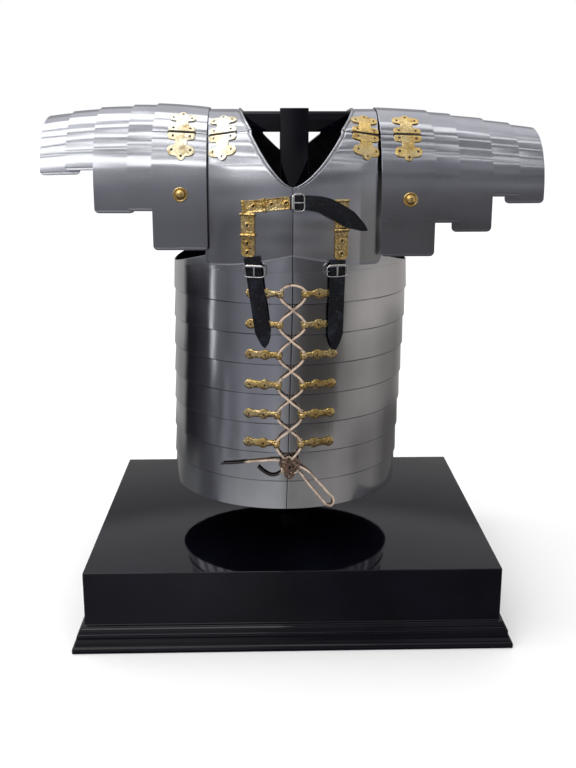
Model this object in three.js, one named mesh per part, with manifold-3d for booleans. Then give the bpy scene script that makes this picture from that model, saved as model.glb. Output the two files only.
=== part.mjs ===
// A lorica segmentata, the banded plate cuirass of a Roman legionary, on a black wooden display stand.
// Eight girth hoops close the waist, two breastplates, two collar plates and two back plates ride on
// the shoulders, and each shoulder has a hinged upper guard with four lesser guards under it.
// Millimetres, +Z up, the front faces -Y, and the origin is the middle of the stand's underside.
import * as THREE from "three";
import { mergeVertices } from "three/addons/utils/BufferGeometryUtils.js";
import Module from "manifold-3d";

const wasm = await Module();
wasm.setup();

// Plate, leather and clearances
const sheet = 1.5; // steel plate
const brassSheet = 1.2; // hinge leaves, tie loops and strap fittings
const gap = 0.4; // between pieces that lie on each other
const seatGap = 0.7; // under a plate whose facets do not line up with the ones beneath
const seamGap = 0.9; // between the two ends or edges that meet down the front
const nest = sheet + gap;

// Stand
const baseWidth = 546;
const baseDepth = 360;
const baseHeight = 106;
const postWidth = 39;
const postDepth = 40;
const postAt = 5; // across, under the middle of the neck
const postTongue = 8; // the part of the post that stays in front of the crossbar
const postAbove = 4; // the post's top above the crossbar
const barLength = 300;
const barDepth = 24;
const barHeight = 28;
const barChamfer = 3;

// Girth hoops
const hoopCount = 8;
const hoopPitch = 40.3;
const hoopOverlap = 12;
const hoopFlare = 1.9; // how much wider a hoop is at its lower edge
const waistHalfWidth = 165; // the top hoop's lower edge
const waistHalfDepth = 135;
const waistAboveBase = 63; // the lowest edge above the stand's top
const waistLean = -8; // how far the lowest edge sits to the wearer's right
const armpitHeight = 38.5; // the top hoop's height under the arm
const frontRise = 36; // how much taller it is at the front and back

// Collar: breastplates, mid collar plates and back plates
const springAboveTopHoop = 139; // where the arch over the shoulder starts, above the top hoop's lower edge
const collarRise = 105; // from there to the collar's crest
const collarUnder = 7; // how far the collar goes on under the upper guards
const chestSwell = 5;
const plateCorner = 9; // radius of a plate's lower corners
const chestBottom = 78; // the breastplate's lower edge below the spring, at the middle
const chestBottomDrop = 15; // how much lower it is at the outer edge
const neckTip = 8; // the V's tip above the spring
const neckCurve = 0.65; // exponent of the front neckline
const napeTip = 38; // the back neckline's lowest point above the spring
const napeCurve = 0.8;
const hingeLine = 72; // the hinge pins above the spring
const hingeSlope = 5; // how much lower the collar's hinge line is at its outer end

// Guards on each shoulder
const guardSeat = 1.55; // between the collar and the upper guards, where they come closest
const guardNarrowing = 6; // at the sleeve's end
const guardCorner = 6;
const guardInner = 111; // the upper guards' inner edge
const sleeveEnd = 324;
const guardLean = 1; // how much further out each guard's crest leans than the one's before it
const guardDrop = 83; // the longest guard's foot below the spring
// The wearer's two sides differ a little. Each has its half widths of the chest and of the neck at the
// crest, the place of its hinges and boss, how far out its guards sit, and how their crest climbs and falls.
const sides = [
  {
    name: "right",
    mirror: -1,
    chest: 112,
    neck: 67,
    collarHinge: 88.5,
    guardHinge: 141,
    boss: { x: 142, belowSpring: 3 },
    shift: -2.5,
    climb: 25,
    fall: 27,
  },
  {
    name: "left",
    mirror: 1,
    chest: 115.5,
    neck: 82,
    collarHinge: 95,
    guardHinge: 149,
    boss: { x: 151, belowSpring: 10 },
    shift: 3,
    climb: -8,
    fall: 9,
  },
];
// Each guard: its edges as shares of the way from the upper guards' inner edge to the sleeve's end,
// and its foot below the spring on the wearer's right and left as shares of the longest guard's
const guardTable = [
  { inner: 0, outer: 0.327, right: 0.892, left: 1 },
  { name: "lesser_guard_1", inner: 0.23, outer: 0.472, right: 0.29, left: 0.482 },
  { name: "lesser_guard_2", inner: 0.432, outer: 0.676, right: 0.325, left: 0.627 },
  { name: "lesser_guard_3", inner: 0.606, outer: 0.845, right: -0.337, left: 0.084 },
  { name: "lesser_guard_4", inner: 0.756, outer: 1, right: -0.277, left: 0.193 },
];

// Brass and leather
const leafHalfWidth = 18;
const leafStart = 0.4; // degrees from the pin's middle
const leafLength = 21; // degrees round the arch
const pinRadius = 1.9;
const bossRadius = 9.5;
const bossHeight = 4.5;
const tieCount = 6;
const tieAboveEdge = 13;
const tieOuter = 61;
const tieHeight = 13;
const tieNeck = 7;
const tieColumns = 3;
const eyeSides = 6;
const eyeAt = 16;
const eyeRadius = 4.6;
const eyeHole = 3.2;
const fittingWidth = 17;
const strapSheet = 2.5;
const strapWidth = 20;
const strapPoint = 1; // half width of a strap's very end
const pointedFrom = 0.88; // share of a hanging strap before its point
const buckleBar = 2.6;
const buckleWidth = 28;
const buckleHeight = 15;
// The straps that hang from the breastplates: places across the body, and levels from the spring
const verticalStraps = [
  {
    name: "right",
    fitting: { x: -56.5, top: -24, foot: -79 },
    strap: { from: -52, to: -35.6, tip: -196 },
    buckleAt: -49,
  },
  {
    name: "left",
    fitting: { x: 61.5, top: -7, foot: -83.5 },
    strap: { from: 57, to: 54, tip: -200.5 },
    buckleAt: 56,
  },
];
const buckleLevel = -97;
// The strap across the chest
const chestFittingFrom = { x: -63, level: -16.5 };
const chestFittingTo = { x: -4, level: -10 };
const chestFittingWidth = 15;
const chestStrapPath = [
  { x: -3.4, level: -10, half: 8 },
  { x: 8, level: -10, half: 8.5 },
  { x: 22, level: -10.5, half: 9 },
  { x: 36.5, level: -13, half: 10 },
  { x: 48, level: -18, half: 11 },
  { x: 60, level: -25, half: 11 },
  { x: 78, level: -36.5, half: 10.5 },
  { x: 95, level: -47.5, half: strapPoint },
];
const chestBuckleAt = { x: 7, level: -10 };
const chestBuckleWidth = 15;
const chestBuckleHeight = 22;

// The lace
const laceRadius = 1.5;
const laceRise = 7; // the top run above the upper eyes
const laceApart = 2.2; // half the distance between strands where they cross
const knotLevel = 236;
const knotLift = 7;
const knotSize = { x: 5, y: 4, z: 4 };
// The route of the bow's loop and its two ends: across, height and how far it stands off the hoops
const bowLoop = [
  { x: 1, z: 237, lift: 7 },
  { x: 12, z: 224, lift: 3.4 },
  { x: 24, z: 206, lift: 2.6 },
  { x: 37, z: 190, lift: 2.6 },
  { x: 48, z: 176, lift: 2.6 },
  { x: 54, z: 172, lift: 2.6 },
  { x: 56, z: 177, lift: 2.6 },
  { x: 47, z: 191, lift: 2.6 },
  { x: 33, z: 208, lift: 2.6 },
  { x: 18, z: 226, lift: 4 },
  { x: 2, z: 238, lift: 8 },
];
const bowTail = [
  { x: -1, z: 237, lift: 7 },
  { x: -14, z: 243, lift: 3.4 },
  { x: -30, z: 242, lift: 2.6 },
  { x: -50, z: 237, lift: 2.6 },
  { x: -72, z: 235, lift: 2.6 },
  { x: -93, z: 234, lift: 2.6 },
];
const bowShortTail = [
  { x: -1, z: 235, lift: 7 },
  { x: -13, z: 230, lift: 3.4 },
  { x: -26, z: 225, lift: 2.6 },
  { x: -38, z: 222, lift: 2.6 },
];

// Levels
const rimLevel = baseHeight + waistAboveBase;
const topHoopLevel = rimLevel + (hoopCount - 1) * hoopPitch;
const spring = topHoopLevel + springAboveTopHoop;
const hoopTaper = nest - (hoopFlare * hoopPitch) / (hoopPitch + hoopOverlap);
const collarHalfDepth = waistHalfDepth + seatGap + sheet - hoopFlare;
const collarOval = waistHalfWidth + seatGap + sheet;
const guardRise = collarRise + sheet + seatGap;
const guardNest = sheet + seatGap;
const guardReach = sleeveEnd - guardInner;
const closestGuard = guardInner + Math.min(...sides.map((side) => side.shift));
const guardHalfDepth =
  collarHalfDepth * Math.sqrt(1 - (closestGuard / collarOval) ** 2) + sheet + guardSeat;
const restDrop = 0.9; // how far the arch has dropped at the crossbar's top edges
const barTop = spring + collarRise - sheet - gap - restDrop;

const materials = {
  steel: new THREE.MeshStandardMaterial({ color: "#b9bcc2", metalness: 1, roughness: 0.3 }),
  brass: new THREE.MeshStandardMaterial({ color: "#d7a83c", metalness: 1, roughness: 0.3 }),
  leather: new THREE.MeshStandardMaterial({ color: "#14151c", metalness: 0, roughness: 0.45 }),
  buckle: new THREE.MeshStandardMaterial({ color: "#dcdcd8", metalness: 1, roughness: 0.2 }),
  wood: new THREE.MeshStandardMaterial({ color: "#101116", metalness: 0, roughness: 0.25 }),
  lace: new THREE.MeshStandardMaterial({ color: "#c9b49c", metalness: 0, roughness: 0.8 }),
};

const part = new THREE.Group();

function add(name, geometry, material) {
  const mesh = new THREE.Mesh(geometry, material);
  mesh.name = name;
  part.add(mesh);
  return mesh;
}

const radians = (degrees) => (degrees * Math.PI) / 180;
const mix = (a, b, t) => a + (b - a) * t;
const evenly = (from, to, count) =>
  Array.from({ length: count + 1 }, (_, i) => mix(from, to, i / count));

// Turns a shape's triangles round if they face inwards.
function facingOut(positions, triangles) {
  let volume = 0;
  const corner = (i) => new THREE.Vector3().fromArray(positions, 3 * i);
  for (let i = 0; i < triangles.length; i += 3) {
    const [a, b, c] = [0, 1, 2].map((k) => corner(triangles[i + k]));
    volume += a.dot(b.cross(c));
  }
  if (volume < 0) triangles.reverse();
  const geometry = new THREE.BufferGeometry();
  geometry.setAttribute("position", new THREE.Float32BufferAttribute(positions, 3));
  geometry.setIndex(triangles);
  return geometry;
}

// A closed wall. at(u, v, depth) gives a point for u and v from 0 to 1, on the outer face at depth 0.
function wall(at, columns, rows, outerDepth, innerDepth) {
  const us = Array.isArray(columns) ? columns : evenly(0, 1, columns);
  const vs = Array.isArray(rows) ? rows : evenly(0, 1, rows);
  const positions = [];
  for (const depth of [outerDepth, innerDepth])
    for (const u of us) for (const v of vs) positions.push(...at(u, v, depth));
  const index = (layer, i, j) => (layer * us.length + i) * vs.length + j;
  const triangles = [];
  const quad = (a, b, c, d) => triangles.push(a, b, c, a, c, d);
  const [m, n] = [us.length - 1, vs.length - 1];
  for (let i = 0; i < m; i++) {
    for (let j = 0; j < n; j++) {
      quad(index(0, i, j), index(0, i + 1, j), index(0, i + 1, j + 1), index(0, i, j + 1));
      quad(index(1, i, j), index(1, i, j + 1), index(1, i + 1, j + 1), index(1, i + 1, j));
    }
    quad(index(0, i, 0), index(1, i, 0), index(1, i + 1, 0), index(0, i + 1, 0));
    quad(index(0, i, n), index(0, i + 1, n), index(1, i + 1, n), index(1, i, n));
  }
  for (let j = 0; j < n; j++) {
    quad(index(0, 0, j), index(0, 0, j + 1), index(1, 0, j + 1), index(1, 0, j));
    quad(index(0, m, j), index(1, m, j), index(1, m, j + 1), index(0, m, j + 1));
  }
  return facingOut(positions, triangles);
}

function solidOf(geometry) {
  const bare = geometry.index ? geometry.toNonIndexed() : geometry.clone();
  bare.deleteAttribute("normal");
  bare.deleteAttribute("uv");
  const merged = mergeVertices(bare, 1e-3);
  return new wasm.Manifold(
    new wasm.Mesh({
      numProp: 3,
      vertProperties: merged.attributes.position.array,
      triVerts: new Uint32Array(merged.index.array),
    }),
  );
}

const joined = (...geometries) => solidGeometry(geometries.map(solidOf).reduce((a, b) => a.add(b)));

function solidGeometry(solid) {
  const mesh = solid.getMesh();
  const geometry = new THREE.BufferGeometry();
  geometry.setAttribute("position", new THREE.BufferAttribute(mesh.vertProperties, 3));
  geometry.setIndex(new THREE.BufferAttribute(mesh.triVerts, 1));
  return geometry;
}

// The stand: a box with a stepped moulding round its foot, a post and a crossbar.

// Each row: how far the moulding stands out, and its level, as shares of its own size
const mouldingOut = 15;
const mouldingHeight = 32;
const mouldingRows = [
  { out: 1, up: 0 },
  { out: 1, up: 0.2 },
  { out: 0.8, up: 0.3 },
  { out: 0.62, up: 0.55 },
  { out: 0.5, up: 0.62 },
  { out: 0.5, up: 0.7 },
  { out: 0.34, up: 0.8 },
  { out: 0.28, up: 1 },
  { out: 0, up: 1 },
];

function standBase() {
  const levels = mouldingRows.map((row) => ({
    out: row.out * mouldingOut,
    z: row.up * mouldingHeight,
  }));
  levels.push({ out: 0, z: baseHeight });
  const positions = [];
  for (const { out, z } of levels) {
    const [x, y] = [baseWidth / 2 + out, baseDepth / 2 + out];
    positions.push(-x, -y, z, x, -y, z, x, y, z, -x, y, z);
  }
  const triangles = [0, 2, 1, 0, 3, 2];
  const top = 4 * (levels.length - 1);
  triangles.push(top, top + 1, top + 2, top, top + 2, top + 3);
  for (let level = 0; level < levels.length - 1; level++)
    for (let i = 0; i < 4; i++) {
      const [a, b] = [4 * level + i, 4 * level + ((i + 1) % 4)];
      triangles.push(a, b, b + 4, a, b + 4, a + 4);
    }
  return facingOut(positions, triangles);
}

// An outline in the YZ plane, extruded along X about the middle.
function alongX(points, length) {
  const shape = new THREE.Shape(points.map(([y, z]) => new THREE.Vector2(y, z)));
  const geometry = new THREE.ExtrudeGeometry(shape, { depth: length, bevelEnabled: false });
  return geometry
    .translate(0, 0, -length / 2)
    .rotateX(Math.PI / 2)
    .rotateZ(Math.PI / 2);
}

function standPost() {
  const [foot, top] = [baseHeight + gap, barTop + postAbove];
  const shoulder = barTop - barHeight - gap;
  const [front, back] = [-barDepth / 2 - gap - postTongue, postDepth - barDepth / 2 - gap - postTongue];
  const tongue = front + postTongue;
  return alongX(
    [
      [front, foot],
      [back, foot],
      [back, shoulder],
      [tongue, shoulder],
      [tongue, top],
      [front, top],
    ],
    postWidth,
  ).translate(postAt, 0, 0);
}

function standCrossbar() {
  const [half, bottom] = [barDepth / 2, barTop - barHeight];
  return alongX(
    [
      [-half, bottom],
      [half, bottom],
      [half, barTop - barChamfer],
      [half - barChamfer, barTop],
      [-half + barChamfer, barTop],
      [-half, barTop - barChamfer],
    ],
    barLength,
  );
}

// A girth hoop is an oval band, open down the front, that widens a little to its lower edge.
const hoopLevel = (k) => topHoopLevel - (k - 1) * hoopPitch;
const hoopHeight = hoopPitch + hoopOverlap;

// How much an oval wall at hoop k is narrower than the top hoop's lower edge, at a level.
const hoopInset = (k, z) =>
  (k - 1) * hoopTaper + (hoopFlare * (z - hoopLevel(k))) / hoopHeight;

// How far the waist has leaned to the side at a level.
const leanAt = (z) => (waistLean * Math.max(0, topHoopLevel - z)) / (topHoopLevel - rimLevel);

function waistPoint(angle, inset, z) {
  const x = (waistHalfWidth - inset) * Math.sin(angle) + leanAt(z);
  return [x, -(waistHalfDepth - inset) * Math.cos(angle), z];
}

const hoopColumns = 32;

function girthHoop(k) {
  const seam = Math.asin(seamGap / 2 / waistHalfWidth);
  const top = (angle) =>
    k === 1
      ? topHoopLevel + armpitHeight + frontRise * Math.cos(angle) ** 2
      : hoopLevel(k) + hoopHeight;
  const at = (u, v, depth) => {
    const angle = mix(seam, 2 * Math.PI - seam, u);
    const z = mix(hoopLevel(k), top(angle), v);
    return waistPoint(angle, hoopInset(k, z) + depth, z);
  };
  return wall(at, hoopColumns, k === 1 ? 2 : 1, 0, sheet);
}

// A shoulder profile runs over the shoulder in the YZ plane. Its place p is millimetres below the spring
// while negative, then degrees round the arch from 0 at the front to 180 at the back, and then
// 180 plus millimetres below the spring again.
function profile(p, halfDepth, rise, depth) {
  if (p < 0) return [-(halfDepth - depth), spring + p];
  if (p > 180) return [halfDepth - depth, spring - (p - 180)];
  const angle = radians(p);
  return [-(halfDepth - depth) * Math.cos(angle), spring + (rise - depth) * Math.sin(angle)];
}

// The place on an arch of this rise at a height above the spring, and the height at a place.
const degreesAt = (rise, height) => THREE.MathUtils.radToDeg(Math.asin(Math.min(1, height / rise)));
const levelAt = (p, rise) => {
  if (p < 0) return p;
  return p > 180 ? 180 - p : rise * Math.sin(radians(p));
};

// The collar's surface: the waist's oval carried up and over the shoulders, with a swell on the chest.
function collarPoint(side, x, p, depth) {
  const halfDepth = (collarHalfDepth - depth) * Math.sqrt(1 - (x / (collarOval - depth)) ** 2);
  const [y, z] = profile(p, halfDepth + depth, collarRise, depth);
  const height = levelAt(p, collarRise);
  const along = (height + chestBottom) / (neckTip + chestBottom);
  const inside = along > 0 && along < 1 ? Math.sin(Math.PI * along) ** 2 : 0;
  const swell = chestSwell * inside * Math.max(0, 1 - (x / side.chest) ** 2);
  return [x, y + Math.sign(y) * swell, z];
}

function neckEdge(side, p) {
  const front = p <= 90;
  const [tip, power] = front ? [neckTip, neckCurve] : [napeTip, napeCurve];
  const share = (levelAt(p, collarRise) - tip) / (collarRise - tip);
  return Math.max(seamGap / 2, share > 0 ? side.neck * share ** power : 0);
}

// Lower edge of a chest or back plate, below the spring, across the body.
const chestEdge = (side, x) =>
  chestBottom + chestBottomDrop * Math.sin((Math.PI / 2) * Math.min(1, x / side.chest));

// The half width lost to a rounded corner at a height above the edge.
const cornerCut = (height, radius) =>
  height >= radius ? 0 : radius - Math.sqrt(radius ** 2 - (radius - height) ** 2);

const collarHinge = (side, x) =>
  degreesAt(collarRise, hingeLine - (hingeSlope * (x - side.collarHinge)) / (2 * leafHalfWidth));
const hingeGap = 0.35; // degrees from the hinge line to a plate's edge
const archRows = 12; // the collar plate's rows over the shoulder
const neckSpacing = 1.3; // the neckline's rows are closer at its tip
const widenedBy = 25; // degrees round the arch where a chest plate has its full width
const guardFacet = 10; // degrees
const facetMargin = 1.5;

// A breastplate, or a back plate when back is true, on the side where x is positive.
// Its stations go up the plate: the lower edge with its round corner, the straight part, then the arch.
const chestGrid = {
  front: { columns: 6, straightRows: 6, neckRows: 8 },
  back: { columns: 5, straightRows: 4, neckRows: 4 },
};

function chestPlate(side, back) {
  const tipDegrees = degreesAt(collarRise, back ? napeTip : neckTip);
  const hingeDegrees = collarHinge(side, side.collarHinge);
  const { columns, straightRows, neckRows } = back ? chestGrid.back : chestGrid.front;
  const stations = [
    { lift: 0, share: 1 },
    { lift: 0.3 * plateCorner, share: 1 },
    { lift: plateCorner, share: 1 },
    ...evenly(0, 1, straightRows).slice(1).map((t) => ({ lift: plateCorner * (1 - t), share: 1 - t })),
    ...(back ? [{ degrees: tipDegrees / 2 }] : []),
    { degrees: tipDegrees },
    ...evenly(0, 1, neckRows).slice(1, -1).map((t) => ({
      degrees: mix(tipDegrees, hingeDegrees, t ** neckSpacing),
    })),
    { degrees: hingeDegrees, hinge: true },
  ];
  const at = (u, v, depth) => {
    const { lift, share, degrees, hinge } = stations[Math.round(v * (stations.length - 1))];
    const straight = degrees === undefined;
    const cut = straight && share === 1 ? cornerCut(lift, plateCorner) : 0;
    const widening = straight ? 0 : Math.min(1, degrees / widenedBy);
    const outer = side.chest + widening * collarUnder - cut;
    const inner = straight ? seamGap / 2 : neckEdge(side, back ? 180 - degrees : degrees);
    const x = mix(inner, outer, u);
    const bent = hinge ? collarHinge(side, x) - hingeGap : degrees;
    const p = straight ? lift - share * chestEdge(side, x) : bent;
    return collarPoint(side, x, back ? 180 - p : p, depth);
  };
  return wall(at, columns, stations.length - 1, 0, sheet);
}

function collarPlate(side) {
  const at = (u, v, depth) => {
    const first = collarHinge(side, side.collarHinge) + hingeGap;
    const x = mix(neckEdge(side, mix(first, 180 - first, v)), side.chest + collarUnder, u);
    const start = collarHinge(side, x) + hingeGap;
    return collarPoint(side, x, mix(start, 180 - start, v), depth);
  };
  return wall(at, 4, archRows, 0, sheet);
}

// A guard's surface where x is positive, its depth measured in from the upper guard's outer face.
// The arch runs straight between facets that all the guards share, so that nested plates stay apart.
function guardSurface(side, x, p, depth) {
  const out = (x - side.shift - guardInner) / guardReach;
  const rise = guardRise + side.climb * out - side.fall * out ** 2;
  const halfDepth = guardHalfDepth - guardNarrowing * out ** 3;
  const facet = p > 0 && p < 180 ? Math.floor(p / guardFacet) * guardFacet : p;
  const start = profile(facet, halfDepth, rise, depth);
  const end = profile(facet + guardFacet, halfDepth, rise, depth);
  const t = (p - facet) / guardFacet;
  return [x, mix(start[0], end[0], t), mix(start[1], end[1], t)];
}

function guardPoint(side, guard, across, p, depth) {
  const onArch = p > 0 && p < 180 ? Math.sin(radians(p)) ** 2 : 0;
  const lean = (guardTable.indexOf(guard) + 1) * guardLean * onArch;
  const x = guardInner + side.shift + mix(guard.inner, guard.outer, across) * guardReach + lean;
  return guardSurface(side, x, p, depth);
}

const guardHinge = degreesAt(guardRise, hingeLine);

// The lower edge of a guard as a place on its profile.
const guardFoot = (side, guard) => {
  const below = guard[side.name] * guardDrop;
  return below > 0 ? -below : degreesAt(guardRise, -below);
};

// A guard between two places on its profile, with round corners where an end is a guard's foot.
function guardStrip(side, guard, from, to, layer, feet) {
  const perDegree = radians(guardHalfDepth);
  const step = (p) => (p < 0 || p > 180 ? guardCorner : guardCorner / perDegree);
  const places = [from];
  if (feet.start) places.push(from + 0.3 * step(from), from + step(from));
  const ends = feet.end ? [to - step(to), to - 0.3 * step(to), to] : [to];
  const facets = evenly(0, 180, 180 / guardFacet);
  places.push(...facets.filter((p) => p > places.at(-1) + facetMargin && p < ends[0] - facetMargin));
  places.push(...ends);
  // How far a place is from the end with a foot, as a share of the corner
  const fromFoot = (p) =>
    Math.min(
      feet.start ? (p - from) / step(from) : 1,
      feet.end ? (to - p) / step(to) : 1,
      1,
    );
  const at = (u, v, depth) => {
    const p = places[Math.round(v * (places.length - 1))];
    const width = (guard.outer - guard.inner) * guardReach;
    const cut = cornerCut(fromFoot(p) * guardCorner, guardCorner) / width;
    return guardPoint(side, guard, mix(cut, 1 - cut, u), p, depth);
  };
  return wall(at, 2, places.length - 1, layer * guardNest, layer * guardNest + sheet);
}

// A hinge leaf's half width along its length, as shares: two lobes at the pin, a waist and three lobes.
const leafRows = [
  { along: 0, half: 1 },
  { along: 0.16, half: 1 },
  { along: 0.26, half: 0.62 },
  { along: 0.42, half: 0.5 },
  { along: 0.56, half: 0.86 },
  { along: 0.72, half: 0.9 },
  { along: 0.8, half: 0.42 },
  { along: 1, half: 0.24 },
];

// A lobed hinge: two leaves on the plates' outer faces, and the knuckles between them round the pin.
function lobedHinge(point, middle, hingeAt) {
  const leaf = (sign) => {
    const at = (u, v, depth) => {
      const row = leafRows[Math.round(v * (leafRows.length - 1))];
      const x = middle + (2 * u - 1) * row.half * leafHalfWidth;
      return point(x, hingeAt(x) + sign * mix(leafStart, leafLength, row.along), depth);
    };
    return wall(at, 2, leafRows.length - 1, -gap - brassSheet, -gap);
  };
  const pin = (u, v, radius) => {
    const angle = 2 * Math.PI * v;
    const x = middle + (2 * u - 1) * leafHalfWidth;
    const [, y, z] = point(x, hingeAt(x), -gap - radius);
    return [x, y + radius * Math.cos(angle), z + radius * Math.sin(angle)];
  };
  return joined(leaf(-1), leaf(1), rod(pin, pinRadius, 2, 8));
}

// A closed rod: at(u, v, radius) goes along it with u and round it with v.
function rod(at, radius, steps, sidesRound) {
  const positions = [];
  for (const u of evenly(0, 1, steps))
    for (let j = 0; j < sidesRound; j++) positions.push(...at(u, j / sidesRound, radius));
  const triangles = [];
  for (let i = 0; i < steps; i++)
    for (let j = 0; j < sidesRound; j++) {
      const [a, b] = [i * sidesRound + j, i * sidesRound + ((j + 1) % sidesRound)];
      triangles.push(a, b, b + sidesRound, a, b + sidesRound, a + sidesRound);
    }
  const end = steps * sidesRound;
  for (let j = 1; j < sidesRound - 1; j++) {
    triangles.push(0, j + 1, j, end, end + j, end + j + 1);
  }
  return facingOut(positions, triangles);
}

// A domed boss with a rim, turned about an axis that points to the front.
const bossProfile = [
  { radius: 0, height: 0 },
  { radius: 1, height: 0 },
  { radius: 1, height: 0.3 },
  { radius: 0.72, height: 0.42 },
  { radius: 0.62, height: 0.75 },
  { radius: 0.3, height: 1 },
  { radius: 0, height: 1 },
];

function boss(side) {
  const points = bossProfile.map(
    (row) => new THREE.Vector2(row.radius * bossRadius, row.height * bossHeight),
  );
  const geometry = new THREE.LatheGeometry(points, 14).rotateX(Math.PI);
  geometry.translate(side.mirror * side.boss.x, -guardHalfDepth - gap, spring - side.boss.belowSpring);
  return solidGeometry(solidOf(geometry));
}

// A tie loop: a strip riveted along a hoop, ending in an upright eye beside the seam.
function tieLoop(k, mirror) {
  const level = hoopLevel(k) + tieAboveEdge;
  const inset = hoopInset(k, level - tieHeight / 2);
  const strip = (u, v, depth) => {
    const x = mix(eyeAt, tieOuter, u);
    const height = mix(tieNeck, tieHeight, Math.min(1, 2 * u));
    const angle = Math.asin((mirror * x) / (waistHalfWidth - inset));
    return waistPoint(angle, inset + depth, level + (v - 0.5) * height);
  };
  const ring = [
    [eyeHole, -1],
    [eyeRadius, -1],
    [eyeRadius, 1],
    [eyeHole, 1],
    [eyeHole, -1],
  ].map(([radius, end]) => new THREE.Vector2(radius, (end * tieNeck) / 2));
  const eye = new THREE.LatheGeometry(ring, eyeSides).rotateX(Math.PI / 2);
  eye.translate(mirror * eyeAt + leanAt(level), -(waistHalfDepth - inset + gap + eyeRadius), level);
  return joined(wall(strip, tieColumns, 1, -gap - brassSheet, -gap), eye);
}

// The chest's surface at a level above the spring, on both sides of the body.
function chestSurface(x, level, depth) {
  const p = level > 0 ? degreesAt(collarRise, level) : level;
  const side = sides.find((one) => one.mirror * x >= 0);
  const [px, py, pz] = collarPoint(side, Math.abs(x), p, depth);
  return [Math.sign(x) * px, py, pz];
}

// A strip that lies on the chest, between two lifts above it. Each row of its path has a place and a
// half width, measured across the strip.
function chestStrip(path, lift, thickness) {
  const at = (u, v, depth) => {
    const i = Math.round(v * (path.length - 1));
    const [before, after] = [path[Math.max(0, i - 1)], path[Math.min(path.length - 1, i + 1)]];
    const along = new THREE.Vector2(after.x - before.x, after.level - before.level).normalize();
    const side = (2 * u - 1) * path[i].half;
    return chestSurface(path[i].x - along.y * side, path[i].level + along.x * side, depth);
  };
  return wall(at, 2, path.length - 1, -lift - thickness, -lift);
}

// Rows evenly spaced between two places, all of one half width.
const straightPath = (from, to, half, rows) =>
  evenly(0, 1, rows).map((t) => ({
    x: mix(from.x, to.x, t),
    level: mix(from.level, to.level, t),
    half,
  }));

const fittingLift = seatGap;
const strapLift = fittingLift + brassSheet + gap;

const fittingRows = 5;
const strapRows = 5;

function verticalFitting({ fitting }) {
  const top = { x: fitting.x, level: fitting.top };
  const foot = { x: fitting.x, level: fitting.foot };
  return chestStrip(straightPath(top, foot, fittingWidth / 2, fittingRows), fittingLift, brassSheet);
}

function verticalStrap({ fitting, strap }) {
  const half = strapWidth / 2;
  const top = { x: strap.from, level: fitting.foot - gap };
  const point = { x: strap.to, level: strap.tip };
  const path = straightPath(top, point, half, strapRows);
  path.splice(-1, 1, { ...path.at(-1), half: strapPoint });
  path.splice(-1, 0, {
    x: mix(top.x, point.x, pointedFrom),
    level: mix(top.level, point.level, pointedFrom),
    half,
  });
  return chestStrip(path, strapLift, strapSheet);
}

function chestFitting() {
  const path = straightPath(chestFittingFrom, chestFittingTo, chestFittingWidth / 2, fittingRows);
  return chestStrip(path, fittingLift, brassSheet);
}

const chestStrap = () => chestStrip(chestStrapPath, strapLift, strapSheet);

// A buckle: a frame round a strap's place, with a tongue across it, bent to the chest.
function buckle(centre, width, height) {
  const bar = (x, level, halfWidth, halfHeight) => {
    const at = (u, v, depth) =>
      chestSurface(
        centre.x + x + (2 * u - 1) * halfWidth,
        centre.level + level + (2 * v - 1) * halfHeight,
        depth,
      );
    const lift = strapLift + strapSheet + seatGap;
    return wall(at, 2, 1, -lift - buckleBar, -lift);
  };
  const [halfWidth, halfHeight, half] = [width / 2, height / 2, buckleBar / 2];
  const along = width > height;
  return joined(
    bar(0, halfHeight - half, halfWidth, half),
    bar(0, half - halfHeight, halfWidth, half),
    bar(halfWidth - half, 0, half, halfHeight),
    bar(half - halfWidth, 0, half, halfHeight),
    along ? bar(0, 0, half, halfHeight - half) : bar(0, 0, halfWidth - half, half),
  );
}

// The lace goes down through the eyes from side to side, and both its ends meet in the bow's knot.
// A point on it: across, height, and how far it stands off the hoops.
function lacePoint(x, z, lift) {
  const inset = (hoopTaper * Math.max(0, topHoopLevel - z)) / hoopPitch - lift;
  return new THREE.Vector3(
    x + leanAt(z),
    -(waistHalfDepth - inset) * Math.sqrt(1 - (x / (waistHalfWidth - inset)) ** 2),
    z,
  );
}

function cordTube(points, stepsPerPoint) {
  const curve = new THREE.CatmullRomCurve3(points, false, "centripetal");
  const steps = (points.length - 1) * stepsPerPoint;
  const frames = curve.computeFrenetFrames(steps, false);
  const at = (u, v, radius) => {
    const i = Math.round(u * steps);
    const angle = 2 * Math.PI * v;
    const centre = curve.getPoint(u);
    centre.addScaledVector(frames.normals[i], radius * Math.cos(angle));
    centre.addScaledVector(frames.binormals[i], radius * Math.sin(angle));
    return centre.toArray();
  };
  return rod(at, laceRadius, steps, 8);
}

function lace() {
  const eyeLift = gap + eyeRadius;
  const strand = (firstSide, crossingLift) => {
    const points = [];
    for (let k = 1; k <= tieCount; k++) {
      const x = (k % 2 ? 1 : -1) * firstSide * eyeAt;
      const level = hoopLevel(k) + tieAboveEdge;
      points.push(lacePoint(x, level + tieNeck / 2, eyeLift));
      points.push(lacePoint(x, level - tieNeck / 2, eyeLift));
      if (k < tieCount) points.push(lacePoint(0, level - hoopPitch / 2, crossingLift));
    }
    return points;
  };
  const top = hoopLevel(1) + tieAboveEdge + tieNeck / 2 + laceRise;
  const [under, over] = [strand(-1, eyeLift - laceApart), strand(1, eyeLift + laceApart)];
  const ends = [-1, 1].map((sign) =>
    lacePoint(sign * knotSize.x * 0.6, knotLevel + knotSize.z + 2 * gap, knotLift),
  );
  const [underEnd, overEnd] = under.at(-1).x < over.at(-1).x ? ends : ends.reverse();
  const topRun = [-eyeAt / 2, eyeAt / 2].map((x) => lacePoint(x, top, eyeLift));
  return cordTube([underEnd, ...under.reverse(), ...topRun, ...over, overEnd], 2);
}

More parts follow.
